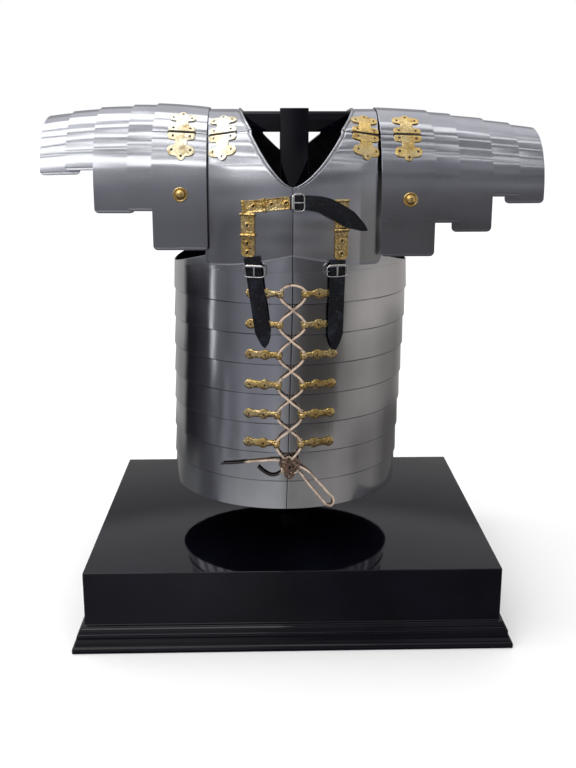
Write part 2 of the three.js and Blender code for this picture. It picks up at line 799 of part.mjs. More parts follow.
const bowPoints = (list) => list.map((row) => lacePoint(row.x, row.z, row.lift));

function laceBow() {
  const knot = new THREE.SphereGeometry(1, 10, 6).scale(knotSize.x, knotSize.y, knotSize.z);
  knot.translate(...lacePoint(0, knotLevel, knotLift).toArray());
  return joined(
    knot,
    cordTube(bowPoints(bowLoop), 1),
    cordTube(bowPoints(bowTail), 1),
    cordTube(bowPoints(bowShortTail), 1),
  );
}

add("stand_base", standBase(), materials.wood);
add("stand_post", standPost(), materials.wood);
add("stand_crossbar", standCrossbar(), materials.wood);

for (let k = 1; k <= hoopCount; k++) add(`girth_hoop_${k}`, girthHoop(k), materials.steel);

const mirrored = (geometry) => {
  const positions = Array.from(geometry.attributes.position.array);
  for (let i = 0; i < positions.length; i += 3) positions[i] *= -1;
  return facingOut(positions, Array.from(geometry.index.array));
};

for (const side of sides) {
  const place = (geometry) => (side.mirror < 0 ? mirrored(geometry) : geometry);
  add(`breastplate_${side.name}`, place(chestPlate(side, false)), materials.steel);
  add(`collar_plate_${side.name}`, place(collarPlate(side)), materials.steel);
  add(`back_plate_${side.name}`, place(chestPlate(side, true)), materials.steel);

  const [upper, ...lesser] = guardTable;
  const foot = guardFoot(side, upper);
  const edge = guardHinge - hingeGap;
  const topStart = guardHinge + hingeGap;
  const upperParts = [
    { name: "front", from: foot, to: edge, feet: { start: true } },
    { name: "top", from: topStart, to: 180 - topStart, feet: {} },
    { name: "back", from: 180 - edge, to: 180 - foot, feet: { end: true } },
  ];
  for (const { name, from, to, feet } of upperParts) {
    const geometry = guardStrip(side, upper, from, to, 0, feet);
    add(`upper_guard_${name}_${side.name}`, place(geometry), materials.steel);
  }
  lesser.forEach((guard, i) => {
    const start = guardFoot(side, guard);
    const geometry = guardStrip(side, guard, start, 180 - start, i + 1, { start: true, end: true });
    add(`${guard.name}_${side.name}`, place(geometry), materials.steel);
  });

  const collarAt = (x, p, depth) => collarPoint(side, x, p, depth);
  const guardAt = (x, p, depth) => guardSurface(side, x, p, depth);
  add(
    `collar_hinge_${side.name}`,
    place(lobedHinge(collarAt, side.collarHinge, (x) => collarHinge(side, x))),
    materials.brass,
  );
  add(
    `guard_hinge_${side.name}`,
    place(lobedHinge(guardAt, side.guardHinge, () => guardHinge)),
    materials.brass,
  );
  add(`guard_boss_${side.name}`, boss(side), materials.brass);

  for (let k = 1; k <= tieCount; k++)
    add(`tie_loop_${k}_${side.name}`, tieLoop(k, side.mirror), materials.brass);
}

for (const row of verticalStraps) {
  add(`fitting_${row.name}`, verticalFitting(row), materials.brass);
  add(`strap_${row.name}`, verticalStrap(row), materials.leather);
  add(
    `buckle_${row.name}`,
    buckle({ x: row.buckleAt, level: buckleLevel }, buckleWidth, buckleHeight),
    materials.buckle,
  );
}
add("fitting_chest", chestFitting(), materials.brass);
add("strap_chest", chestStrap(), materials.leather);
add(
  "buckle_chest",
  buckle(chestBuckleAt, chestBuckleWidth, chestBuckleHeight),
  materials.buckle,
);

add("lace", lace(), materials.lace);
add("lace_bow", laceBow(), materials.lace);

export default part;
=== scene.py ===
"""A lorica segmentata in polished steel and brass on its black display stand, dressed round the fixed frame.

Metres, +Z up, the front faces -Y. Right and left are the wearer's: the wearer's right is at -X.
"""

from functools import partial
from math import asin, copysign, cos, degrees, exp, pi, radians, sin, sqrt, tan

import bmesh
import bpy
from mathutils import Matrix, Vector


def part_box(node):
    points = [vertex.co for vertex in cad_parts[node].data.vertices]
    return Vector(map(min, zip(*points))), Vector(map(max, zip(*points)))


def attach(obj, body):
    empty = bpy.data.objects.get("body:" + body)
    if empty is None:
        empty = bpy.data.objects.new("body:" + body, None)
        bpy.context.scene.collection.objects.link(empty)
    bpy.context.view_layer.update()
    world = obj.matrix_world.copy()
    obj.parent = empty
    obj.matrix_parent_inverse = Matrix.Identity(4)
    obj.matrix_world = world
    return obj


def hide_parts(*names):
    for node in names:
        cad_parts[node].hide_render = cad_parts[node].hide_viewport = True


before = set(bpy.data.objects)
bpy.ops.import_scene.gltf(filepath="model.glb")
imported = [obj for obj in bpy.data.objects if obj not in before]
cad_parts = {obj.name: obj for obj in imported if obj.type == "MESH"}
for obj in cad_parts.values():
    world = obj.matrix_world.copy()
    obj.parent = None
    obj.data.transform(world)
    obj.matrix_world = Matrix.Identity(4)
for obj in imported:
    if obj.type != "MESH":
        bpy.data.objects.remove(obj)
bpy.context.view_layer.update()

bl_info = {
    "name": "Lorica segmentata on its stand",
    "version": (1, 0, 0),
    "blender": (4, 5, 0),
    "location": "3D View > Sidebar > Lorica",
    "description": "Makes the plates, brass, straps, lace and stand of a banded cuirass",
    "category": "Add Mesh",
}

# Sizes of the frame
HOOPS = 8
TIES = 6
TOP_BOX, SECOND_BOX, RIM_BOX = (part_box(f"girth_hoop_{k}") for k in (1, 2, HOOPS))
TOP_HOOP = TOP_BOX[0].z
RIM = RIM_BOX[0].z
HOOP_PITCH = (TOP_HOOP - RIM) / (HOOPS - 1)
HOOP_HEIGHT = SECOND_BOX[1].z - SECOND_BOX[0].z
WAIST_WIDE = (TOP_BOX[1].x - TOP_BOX[0].x) / 2
WAIST_DEEP = -TOP_BOX[0].y
WAIST_LEAN = (RIM_BOX[1].x + RIM_BOX[0].x) / 2
COLLAR_RISE = 0.105
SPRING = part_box("collar_plate_left")[1].z - COLLAR_RISE
GUARD_DEEP = -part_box("upper_guard_front_left")[0].y

# Plate, leather and clearances, as in the frame
SHEET = 0.0015
BRASS_SHEET = 0.0012
GAP = 0.0004
SEAT_GAP = 0.0007
SEAM_GAP = 0.0009
HOOP_FLARE = 0.0019
HOOP_TAPER = SHEET + GAP - HOOP_FLARE * HOOP_PITCH / HOOP_HEIGHT
ARMPIT_HEIGHT = 0.0385
FRONT_RISE = 0.036
COLLAR_DEEP = WAIST_DEEP + SEAT_GAP + SHEET - HOOP_FLARE
COLLAR_OVAL = WAIST_WIDE + SEAT_GAP + SHEET
COLLAR_UNDER = 0.007
CHEST_SWELL = 0.005
CHEST_BOTTOM = 0.078
CHEST_DROP = 0.015
PLATE_CORNER = 0.009
NECK_TIP = 0.008
NECK_CURVE = 0.65
NAPE_TIP = 0.038
NAPE_CURVE = 0.8
HINGE_LINE = 0.072
HINGE_SLOPE = 0.005
HINGE_GAP = radians(0.35)
WIDENED_BY = radians(25)
STRAIGHT = 0.1  # how far a profile runs down for each radian of its place before the arch and after it
GUARD_RISE = COLLAR_RISE + SHEET + SEAT_GAP
GUARD_NEST = SHEET + SEAT_GAP
GUARD_NARROWING = 0.006
GUARD_CORNER = 0.006
GUARD_INNER = 0.111
SLEEVE_END = 0.324
LEAF_HALF = 0.018
LEAF_LENGTH = 0.0385
PIN_SLOT = 0.0019

SIDES = {
    "right": {
        "mirror": -1, "chest": 0.112, "neck": 0.067, "collar_hinge": 0.0885, "guard_hinge": 0.141,
        "boss_x": 0.142, "boss_below": 0.003, "shift": -0.0025, "climb": 0.025, "fall": 0.027,
    },
    "left": {
        "mirror": 1, "chest": 0.1155, "neck": 0.082, "collar_hinge": 0.095, "guard_hinge": 0.149,
        "boss_x": 0.151, "boss_below": 0.010, "shift": 0.003, "climb": -0.008, "fall": 0.009,
    },
}
GUARD_REACH = SLEEVE_END - GUARD_INNER
GUARD_LEAN = 0.001
GUARD_DROP = 0.083
# Each guard's edges as shares of the sleeve, and its foot below the spring as shares of the longest guard's.
# The first is the upper guard.
GUARDS = [
    {"inner": 0, "outer": 0.327, "right": 0.892, "left": 1},
    {"inner": 0.23, "outer": 0.472, "right": 0.29, "left": 0.482},
    {"inner": 0.432, "outer": 0.676, "right": 0.325, "left": 0.627},
    {"inner": 0.606, "outer": 0.845, "right": -0.337, "left": 0.084},
    {"inner": 0.756, "outer": 1, "right": -0.277, "left": 0.193},
]

TIE_ABOVE_EDGE = 0.013
EYE_AT = 0.016
EYE_RADIUS = 0.0046
EYE_TUBE = 0.0011
TIE_NECK = 0.007
FITTING_LIFT = SEAT_GAP
STRAP_LIFT = FITTING_LIFT + BRASS_SHEET + GAP
STRAP_SHEET = 0.0025
BUCKLE_LEVEL = -0.097
HANGING_STRAPS = {
    "right": {"fitting_x": -0.0565, "top": -0.024, "foot": -0.079,
              "strap_from": -0.052, "strap_to": -0.0356, "tip": -0.196, "buckle_x": -0.049},
    "left": {"fitting_x": 0.0615, "top": -0.007, "foot": -0.0835,
             "strap_from": 0.057, "strap_to": 0.054, "tip": -0.2005, "buckle_x": 0.056},
}
CHEST_FITTING = [(-0.063, -0.0165), (-0.004, -0.010)]
# The strap across the chest: across the body, level from the spring, and half its width
CHEST_STRAP = [
    (-0.0034, -0.010, 0.008), (0.008, -0.010, 0.0085), (0.022, -0.0105, 0.009), (0.0365, -0.013, 0.010),
    (0.048, -0.018, 0.011), (0.060, -0.025, 0.011), (0.078, -0.0365, 0.0105), (0.095, -0.0475, 0.001),
]
CHEST_BUCKLE = (0.007, -0.010)
# The fittings' half width, their knuckles' places and radii, and their plates: from, to, whether the end
# is round, and where the rivets are, as shares of the fitting
HANGING_FITTING = (
    0.0085, [(0.04, 0.0021), (0.5, 0.0024)], [(0.07, 0.46, False, (0.27,)), (0.54, 1.0, True, (0.68, 0.87))])
CHEST_FITTING_PARTS = (
    0.0075, [(0.03, 0.0021), (0.46, 0.0022)], [(0.06, 0.42, False, (0.25,)), (0.5, 1.0, False, (0.62, 0.9))])
HANGING_HALF = 0.010
HANGING_HOLES = (0.42, 0.56, 0.70)
CHEST_HOLES = (0.3, 0.42)

# The lace's routes: across, height, and how far it stands off the hoops
LACE_RISE = 0.007
LACE_APART = 0.0022
KNOT_LEVEL = 0.236
KNOT_LIFT = 0.007
KNOT_SIZE = (0.005, 0.004, 0.004)
TAIL_WAXED_PAST = -0.058
SHORT_TAIL_WAXED_PAST = -0.012
BOW_LOOP = [
    (0.002, 0.236, 0.007), (0.014, 0.225, 0.0034), (0.027, 0.207, 0.0026), (0.040, 0.190, 0.0026),
    (0.0505, 0.1765, 0.0026), (0.0555, 0.1712, 0.0026), (0.0615, 0.1708, 0.0026), (0.0635, 0.177, 0.0026),
    (0.0555, 0.189, 0.0026), (0.041, 0.207, 0.0026), (0.0245, 0.226, 0.004), (0.003, 0.238, 0.008),
]
BOW_TAIL = [
    (-0.001, 0.238, 0.007), (-0.016, 0.2405, 0.0036), (-0.034, 0.2385, 0.0026), (-0.052, 0.2355, 0.0026),
    (-0.072, 0.231, 0.0026), (-0.089, 0.227, 0.0026),
]
BOW_SHORT_TAIL = [
    (-0.002, 0.230, 0.007), (-0.011, 0.2215, 0.0034), (-0.021, 0.2185, 0.0026), (-0.031, 0.2225, 0.0026),
    (-0.040, 0.2295, 0.0026),
]


def a_size(name, description, default, unit="LENGTH"):
    return bpy.props.FloatProperty(name=name, description=description, default=default, unit=unit)


def a_colour(name, description, *default):
    return bpy.props.FloatVectorProperty(
        name=name, description=description, default=default, subtype="COLOR", size=3, min=0, max=1)


class PlateSizes(bpy.types.PropertyGroup):
    edge: a_size("Edge", "How far plate edges are broken", 0.0004)
    bead: a_size("Neck bead", "Radius of the rolled bead round the neck", 0.0015)
    groove: a_size("Groove", "Depth of the groove above a guard's foot", 0.0003)
    steel: a_colour("Steel", "Colour of the polished plate", 0.60, 0.61, 0.64)
    steel_roughness: bpy.props.FloatProperty(
        name="Polish", description="Roughness of the polished plate", default=0.15, min=0, max=1)
    # The inside's colour is painted shade: near black, for the shade within the shell
    inside: a_colour("Inside", "Colour of the blackened inner side", 0.004, 0.004, 0.005)


class FittingSizes(bpy.types.PropertyGroup):
    rivet: a_size("Rivet", "Radius of a rivet's head", 0.0019)
    boss: a_size("Boss", "Radius of the boss on an upper guard", 0.0095)
    brass: a_colour("Brass", "Colour of the brass fittings", 1.0, 0.7, 0.25)
    # Painted highlight: the hinges on the wearer's right take this paler copy of the brass, as if in
    # stronger light
    paler: a_colour("Rubbed brass", "Colour of the hinges on the wearer's right", 1.0, 0.88, 0.58)
    tinned: a_colour("Buckle", "Colour of the tinned buckles", 0.86, 0.85, 0.82)
    leather: a_colour("Leather", "Colour of the straps", 0.0035, 0.004, 0.007)


class LaceSizes(bpy.types.PropertyGroup):
    diameter: a_size("Diameter", "Diameter of the lace", 0.003)
    colour: a_colour("Lace", "Colour of the lace", 0.52, 0.40, 0.31)
    waxed: a_colour("Waxed lace", "Colour of the lace where it is tied and waxed", 0.11, 0.06, 0.038)


class StandSizes(bpy.types.PropertyGroup):
    edge: a_size("Edge", "How far the stand's edges are rounded", 0.0014)
    lacquer: a_colour("Lacquer", "Colour of the stand", 0.0022, 0.0022, 0.0045)


class StageSizes(bpy.types.PropertyGroup):
    eye: bpy.props.FloatVectorProperty(
        name="Camera", description="Where the camera stands", default=(-0.0279, -1.1239, 0.6754),
        subtype="TRANSLATION", size=3)
    pitch: a_size("Pitch", "How far the camera looks down", 0.198, "ROTATION")
    yaw: a_size("Yaw", "How far the camera looks to +X", 0.022, "ROTATION")
    lens: a_size("Lens", "Focal length in millimetres", 37.5, "NONE")
    shift: a_size("Shift", "How far the frame is shifted down", -0.13, "NONE")
    floor: a_colour("Floor", "Colour of the floor", 0.97, 0.97, 0.97)
    strips: a_size("Strips", "Strength of the overhead strip lights", 1.0, "NONE")


def mix(a, b, t):
    return a + (b - a) * t


def smooth(t):
    t = min(1, max(0, t))
    return t * t * (3 - 2 * t)


def evenly(low, high, count):
    """The count + 1 values from low to high."""
    return [mix(low, high, i / count) for i in range(count + 1)]


# Making pieces

def deselect():
    if bpy.context.object and bpy.context.object.mode != "OBJECT":
        bpy.ops.object.mode_set(mode="OBJECT")
    bpy.ops.object.select_all(action="DESELECT")


def choose(*pieces):
    deselect()
    for piece in pieces:
        piece.select_set(True)
    bpy.context.view_layer.objects.active = pieces[0]


def in_edit_mode(piece, *steps):
    choose(piece)
    bpy.ops.object.mode_set(mode="EDIT")
    bpy.ops.mesh.select_all(action="SELECT")
    for step in steps:
        step()
    bpy.ops.object.mode_set(mode="OBJECT")


def face_out(piece):
    """Turns a closed piece's faces round if they point inwards."""
    form = bmesh.new()
    form.from_mesh(piece.data)
    inside_out = form.calc_volume(signed=True) < 0
    form.free()
    if inside_out:
        in_edit_mode(piece, bpy.ops.mesh.flip_normals)


def applied(piece, kind, **settings):
    """Adds a modifier and applies it."""
    choose(piece)
    modifier = piece.modifiers.new(kind, kind)
    for name, value in settings.items():
        setattr(modifier, name, value)
    bpy.ops.object.modifier_apply(modifier=modifier.name)


def break_edges(piece, width, segments=2, angle=50):
    applied(piece, "BEVEL", width=width, segments=segments, limit_method="ANGLE", angle_limit=radians(angle))


def smooth_faces(piece, angle=35):
    choose(piece)
    bpy.ops.object.shade_smooth_by_angle(angle=radians(angle))


def bent_wall(name, us, vs, at, inside_shaded=False):
    """A closed wall: a flat slab is bent so that at(u, v, layer) gives its outer face on layer 0 and its
    inner one on layer 1. Where its inside is shaded, the inner faces take the piece's second material,
    painted shade."""
    deselect()
    columns, rows = len(us) - 1, len(vs) - 1
    bpy.ops.mesh.primitive_grid_add(x_subdivisions=columns, y_subdivisions=rows, size=1)
    piece = bpy.context.object
    piece.name = name
    in_edit_mode(piece, lambda: bpy.ops.mesh.extrude_region_move(
        TRANSFORM_OT_translate={"value": (0, 0, -1)}))
    corners = piece.data.vertices
    for face in piece.data.polygons:
        face.material_index = int(inside_shaded and all(corners[i].co.z < -0.5 for i in face.vertices))
    for corner in corners:
        i, j = round((corner.co.x + 0.5) * columns), round((corner.co.y + 0.5) * rows)
        corner.co = at(us[i], vs[j], 0 if corner.co.z > -0.5 else 1)
    face_out(piece)
    return piece


def bent_tube(name, along, around, at):
    """A closed tube or turned solid: at(i, j) gives the corner at a station and a place round it."""
    deselect()
    bpy.ops.mesh.primitive_grid_add(x_subdivisions=along, y_subdivisions=around, size=1)
    piece = bpy.context.object
    piece.name = name
    for corner in piece.data.vertices:
        i, j = round((corner.co.x + 0.5) * along), round((corner.co.y + 0.5) * around)
        corner.co = at(i, j % around)
    in_edit_mode(piece, lambda: bpy.ops.mesh.remove_doubles(threshold=1e-6))
    face_out(piece)
    return piece


def turned(name, centre, axis, profile, sides=20):
    """A solid turned about an axis. The profile's rows are radius and height, from its foot to its top."""
    axis = Vector(axis).normalized()
    across = axis.orthogonal().normalized()
    up = axis.cross(across)

    def at(i, j):
        radius, height = profile[i]
        angle = 2 * pi * j / sides
        return Vector(centre) + axis * height + (across * cos(angle) + up * sin(angle)) * radius

    return bent_tube(name, len(profile) - 1, sides, at)


def swept(name, points, radii, sides=10, closed=False, flat=1.0, normal=None):
    """A tube along points. The radii are one for each point, and flat is its height over its width."""
    count = len(points)
    points = [Vector(p) for p in points]
    normal = Vector(normal or (0, -1, 0))

    def ring(i):
        before = points[(i - 1) % count] if closed or i else points[i]
        after = points[(i + 1) % count] if closed or i < count - 1 else points[i]
        forward = (after - before).normalized()
        out = (normal - forward * normal.dot(forward)).normalized()
        return out, forward.cross(out)

    def at(i, j):
        end = (i == 0 or i == count + 1) and not closed
        k = i % count if closed else min(max(i - 1, 0), count - 1)
        out, side = ring(k)
        angle = 2 * pi * j / sides
        radius = 0 if end else radii[k]
        return points[k] + out * (radius * flat * cos(angle)) + side * (radius * sin(angle))

    return bent_tube(name, count if closed else count + 1, sides, at)


def joined(name, pieces):
    choose(*pieces)
    if len(pieces) > 1:
        bpy.ops.object.join()
    piece = bpy.context.object
    piece.name = name
    return piece


def coloured(piece, *materials):
    """Gives a new piece its materials. Its faces keep the places in the list that they were made with."""
    for material in materials:
        piece.data.materials.append(material)
    return piece


def settled(piece, slot, *nodes):
    """Hands a finished piece to the frame in place of the nodes that it stands for."""
    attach(piece, "root")
    if nodes:
        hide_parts(*nodes)


def finished(piece, slot, node, materials, edge, segments=2, break_over=50, smooth_under=35):
    """Breaks the edges of a piece of one mesh, and hands it over in place of a node."""
    break_edges(piece, edge, segments, break_over)
    smooth_faces(piece, smooth_under)
    settled(coloured(piece, *materials), slot, node)


def assembled(name, slot, nodes, pieces, materials, smooth_under=40):
    """Joins the parts of a fitting, and hands it over in place of its nodes."""
    for piece in pieces:
        smooth_faces(coloured(piece, *materials), smooth_under)
    settled(joined(name, pieces), slot, *nodes)


# Shader maths

class Value:
    """A shader socket that can be used in sums."""

    def __init__(self, shader, socket):
        self.shader, self.socket = shader, socket

    def worked(self, operation, *values):
        return self.shader.node("ShaderNodeMath", {"operation": operation}, dict(enumerate(values)))

    def __add__(self, other):
        return self.worked("ADD", self, other)

    def __radd__(self, other):
        return self.worked("ADD", other, self)

    def __sub__(self, other):
        return self.worked("SUBTRACT", self, other)

    def __rsub__(self, other):
        return self.worked("SUBTRACT", other, self)

    def __mul__(self, other):
        return self.worked("MULTIPLY", self, other)

    def __rmul__(self, other):
        return self.worked("MULTIPLY", other, self)

    def __truediv__(self, other):
        return self.worked("DIVIDE", self, other)

    def __rtruediv__(self, other):
        return self.worked("DIVIDE", other, self)


class Shader:
    """The node tree of a material or a world."""

    def __init__(self, owner):
        owner.use_nodes = True
        self.tree = owner.node_tree
        self.tree.nodes.clear()
        self.spot = None

    def node(self, kind, settings=None, sockets=None, output=0):
        """Adds a node: its settings first, then its sockets' values or links. Colours have three parts."""
        made = self.tree.nodes.new(kind)
        for name, value in (settings or {}).items():
            if name == "stops":
                self.set_stops(made.color_ramp, value)
            else:
                setattr(made, name, value)
        for name, value in (sockets or {}).items():
            socket = made.inputs[name]
            if isinstance(value, Value):
                self.tree.links.new(value.socket, socket)
            else:
                socket.default_value = (*value, 1) if socket.type == "RGBA" else value
        return Value(self, made.outputs[output]) if made.outputs else made

    @staticmethod
    def set_stops(ramp, stops):
        while len(ramp.elements) < len(stops):
            ramp.elements.new(0.5)
        for element, (place, colour) in zip(ramp.elements, stops):
            element.position = place
            element.color = (*colour, 1)

    def place(self):
        """Where a point is on the piece, in metres."""
        self.spot = self.spot or self.node("ShaderNodeTexCoord", output="Object")
        return self.spot

    def split(self, vector):
        parts = self.node("ShaderNodeSeparateXYZ", sockets={0: vector}).socket.node.outputs
        return [Value(self, part) for part in parts]

    def noise(self, scale, detail=2.0, roughness=0.5, stretch=(1, 1, 1), vector=None):
        """Soft noise, stretched along an axis where its share is under 1. Its middle is 0.5."""
        vector = vector or self.place()
        moved = self.node("ShaderNodeMapping", sockets={"Vector": vector, "Scale": stretch})
        return self.node("ShaderNodeTexNoise", sockets={
            "Vector": moved, "Scale": scale, "Detail": detail, "Roughness": roughness})

    def raised(self, height):
        """The place moved up by a varying height, as if it were far away on another plate."""
        rise = self.node("ShaderNodeCombineXYZ", sockets={2: height})
        return self.node("ShaderNodeVectorMath", {"operation": "ADD"}, {0: self.place(), 1: rise})

    def ranged(self, value, low, high, to_low=0.0, to_high=1.0):
        return self.node("ShaderNodeMapRange", {"interpolation_type": "SMOOTHSTEP"}, {
            "Value": value, "From Min": low, "From Max": high, "To Min": to_low, "To Max": to_high})

    def blended(self, share, first, second):
        """Two colours mixed by a share."""
        return self.node("ShaderNodeMix", {"data_type": "RGBA"}, {0: share, 6: first, 7: second}, output=2)

    def bumped(self, height, distance, strength=1.0, under=None):
        sockets = {"Height": height, "Distance": distance, "Strength": strength}
        if under is not None:
            sockets["Normal"] = under
        return self.node("ShaderNodeBump", sockets=sockets)


def made_of(name, recipe, *values):
    """A finish, made the first time it is asked for. Its recipe gives what the surface's sockets hold."""
    material = bpy.data.materials.get(name)
    if material is None:
        material = bpy.data.materials.new(name)
        shader = Shader(material)
        surface = shader.node("ShaderNodeBsdfPrincipled", sockets=recipe(shader, *values))
        shader.node("ShaderNodeOutputMaterial", sockets={"Surface": surface})
    return material


# Painted shade under each hoop's lower edge
HOOP_EDGE_SHADE = (0.03, 0.026, 0.024)
WAX = (0.02, 0.016, 0.014)
# Painted shade on the lower parts of the shoulder plates
LOW_PLATE_SHADE = (0.02, 0.02, 0.024)
# Painted sheen on the leather's rubbed patches
RUBBED_LEATHER_SHEEN = (0.016, 0.02, 0.036)
DUST = (0.25, 0.25, 0.27)
# Painted shade in rivets' hollows, punched holes and hinges' slots
HOLE_SHADE = (0.012, 0.008, 0.005)
SCRATCH_SLANT = (0.5, 0.25, 0.1)
# Across the body, where the painted shade low on the shoulder plates spares the left breastplate
LEFT_BREAST_ENDS = (0.084, 0.088)


def shade(colour, factor):
    return tuple(min(1, channel * factor) for channel in colour)


def polished_steel(shader, sizes, grain, wave, depth, roughness, brushed_and_shaded_below=None):
    """Polished plate: slow waves from the hammer and the rolls, fine grinding lines, and smudges, with
    painted shade under the hoops' edges on the waist and low down on the shoulder plates.
    """
    steel = sizes.steel[:]
    grinding = shader.noise(1, detail=3, roughness=0.6, stretch=grain)
    smudges = shader.noise(26, detail=4, roughness=0.62)
    stains = shader.ranged(shader.noise(9, detail=3), 0.42, 0.72)
    slanted = shader.node("ShaderNodeMapping", sockets={
        "Vector": shader.place(), "Rotation": SCRATCH_SLANT})
    scratches = shader.ranged(shader.noise(1, detail=1, stretch=(520, 520, 22), vector=slanted), 0.75, 0.8)
    scratched = scratches * shader.ranged(shader.noise(15, detail=1), 0.5, 0.6)
    colour = shader.blended(stains, steel, shade(steel, 0.86))
    colour = shader.blended(scratched * 0.4, colour, shade(steel, 1.3))
    polish = roughness + (smudges - 0.5) * 0.12 + (grinding - 0.5) * 0.1 + scratched * 0.12
    if brushed_and_shaded_below is None:
        colour, hoop = shaded_under_edges(shader, colour)
        waves = shader.noise(1, detail=1, stretch=wave, vector=shader.raised(hoop * 0.9))
    else:
        waves = shader.noise(1, detail=1, stretch=wave)
        across, _, height = shader.split(shader.place())
        polish = polish + shader.ranged(height, brushed_and_shaded_below, brushed_and_shaded_below + 0.03, 0.15, 0.0)
        left_breast = shader.ranged(across, -0.001, 0.001) * shader.ranged(across, *LEFT_BREAST_ENDS, 1, 0)
        # Painted shade: the steel darkens below the given height, except on the left breastplate near the
        # middle
        shaded_low = shader.ranged(height, brushed_and_shaded_below - 0.058, brushed_and_shaded_below + 0.02, 0.42, 0.0)
        colour = shader.blended(shaded_low * (1 - left_breast), colour, LOW_PLATE_SHADE)
    hammered = shader.bumped(waves, depth)
    return {"Base Color": colour, "Metallic": 1.0, "Roughness": polish,
            "Normal": shader.bumped(grinding, 0.00002, 0.9, under=hammered)}


def shaded_under_edges(shader, colour):
    """Paints a line of shade under each hoop's lower edge, and gives the hoop that a point is on."""
    rows = shader.split(shader.place())[2] - RIM
    turns = rows / HOOP_PITCH
    hoop = turns.worked("FLOOR", turns)
    edge_shade = shader.ranged(turns - hoop, 0.945, 0.985) * shader.ranged(rows, HOOP_PITCH / 2, HOOP_PITCH * 0.6)
    edge_shade = edge_shade * shader.ranged(rows, TOP_HOOP - RIM + 0.002, TOP_HOOP - RIM + 0.004, 1, 0)
    uneven = shader.ranged(shader.noise(22), 0.3, 0.62, 0.35, 0.9)
    return shader.blended(edge_shade * uneven, colour, HOOP_EDGE_SHADE), hoop


def painted_shade_inside(shader, colour):
    """Painted shade on the inner side of the plates: near black, with random mottling."""
    mottling = shader.noise(60, detail=4)
    base = shader.blended(shader.ranged(mottling, 0.4, 0.7), colour, shade(colour, 2.2))
    return {"Base Color": base, "Roughness": 0.7 + mottling * 0.2,
            "Specular IOR Level": 0.03, "Normal": shader.bumped(mottling, 0.0002, 0.5)}


def brass(shader, colour, beaten=1.0):
    """Pressed brass, bright on its high places and browned in its low ones."""
    red, green, blue = colour
    tarnish = shader.ranged(shader.noise(120, detail=3), 0.48, 0.74)
    patches = shader.ranged(shader.noise(38), 0.4, 0.7)
    base = shader.blended(tarnish, colour, (red * 0.5, green * 0.42, blue * 0.3))
    base = shader.blended(patches * 0.6, base, (min(1, red * 1.1), green * 1.2, blue * 1.9))
    dents = shader.bumped(shader.noise(210), 0.0016 * beaten)
    return {"Base Color": base, "Metallic": 1.0, "Roughness": 0.2 + tarnish * 0.22, "Normal": dents}


def shadowed(shader, colour):
    """Painted shade for the dark bottom of a rivet, a punched hole or a hinge's slot."""
    shade_speckle = shader.noise(400)
    return {"Base Color": shader.blended(shade_speckle, colour, shade(colour, 2.4)), "Roughness": 0.6,
            "Normal": shader.bumped(shade_speckle, 0.0001, 0.5)}


def tinned(shader, colour):
    """Bright tin, worn thin on the high places of the buckles."""
    worn = shader.noise(160, detail=3)
    base = shader.blended(shader.ranged(worn, 0.5, 0.75), colour, shade(colour, 0.72))
    return {"Base Color": base, "Metallic": 1.0, "Roughness": 0.12 + worn * 0.16,
            "Normal": shader.bumped(worn, 0.0003, 0.4)}


def black_leather(shader, colour):
    """Polished black leather with pores and creases, and a blue sheen painted into its colour on random
    rubbed patches.
    """
    pores = shader.node("ShaderNodeTexVoronoi", {"feature": "DISTANCE_TO_EDGE"}, {
        "Vector": shader.place(), "Scale": 900.0})
    creases = shader.noise(1, detail=3, stretch=(90, 90, 320))
    # Painted sheen: random rubbed patches are made bluer and lighter
    paler = shader.ranged(shader.noise(70, detail=4), 0.5, 0.72)
    base = shader.blended(paler * 0.6, colour, RUBBED_LEATHER_SHEEN)
    roughness = 0.3 + shader.ranged(pores, 0.0, 0.2, 0.22, 0.0) + (creases - 0.5) * 0.2
    grain = shader.bumped(shader.ranged(pores, 0.0, 0.14), 0.00018, 0.7)
    return {"Base Color": base, "Roughness": roughness, "Specular IOR Level": 0.35,
            "Normal": shader.bumped(creases, 0.0012, 0.7, under=grain)}


def lacquered_wood(shader, colour):
    """Black gloss lacquer over fine-grained board: a slight orange peel, dust and rubbed patches."""
    peel = shader.noise(75, detail=1)
    grain = shader.noise(1, detail=4, stretch=(14, 90, 90))
    dust = shader.ranged(shader.noise(900, detail=1), 0.68, 0.78)
    paler = shader.ranged(shader.noise(7, detail=4), 0.45, 0.75)
    base = shader.blended(paler, colour, shade(colour, 1.9))
    return {"Base Color": shader.blended(dust * 0.03, base, DUST),
            "Roughness": 0.05 + paler * 0.05 + dust * 0.25, "Specular IOR Level": 0.45,
            "Normal": shader.bumped(grain, 0.00012, 0.15, under=shader.bumped(peel, 0.0003, 0.12))}


def rolled_lace(shader, colour, dark_past=None):
    """A pale hide lace with twisted fibres, waxed dark past a place across the body where one is given."""
    fibres = shader.noise(1, detail=3, stretch=(900, 900, 420))
    blotches = shader.ranged(shader.noise(130), 0.42, 0.68)
    base = shader.blended(blotches, colour, shade(colour, 0.55))
    base = shader.blended(shader.ranged(fibres, 0.55, 0.75) * 0.5, base, shade(colour, 1.5))
    if dark_past is not None:
        waxed = shader.ranged(shader.split(shader.place())[0], dark_past - 0.008, dark_past, 1, 0)
        base = shader.blended(waxed, base, WAX)
    return {"Base Color": base, "Roughness": 0.75,
            "Normal": shader.bumped(fibres, 0.0007, 0.8)}


def pale_floor(shader, colour):
    """A matt floor that glows with distance, so that it ends in the white of the studio."""
    away = shader.node("ShaderNodeVectorMath", {"operation": "LENGTH"}, {0: shader.place()}, "Value")
    mottling = shader.noise(3)
    return {"Base Color": shader.blended(mottling, colour, shade(colour, 0.985)), "Roughness": 0.7,
            "Emission Color": shader.blended(shader.ranged(away, *FLOOR_FADES), (0, 0, 0), FLOOR_GLOW),
            "Emission Strength": 1.0}


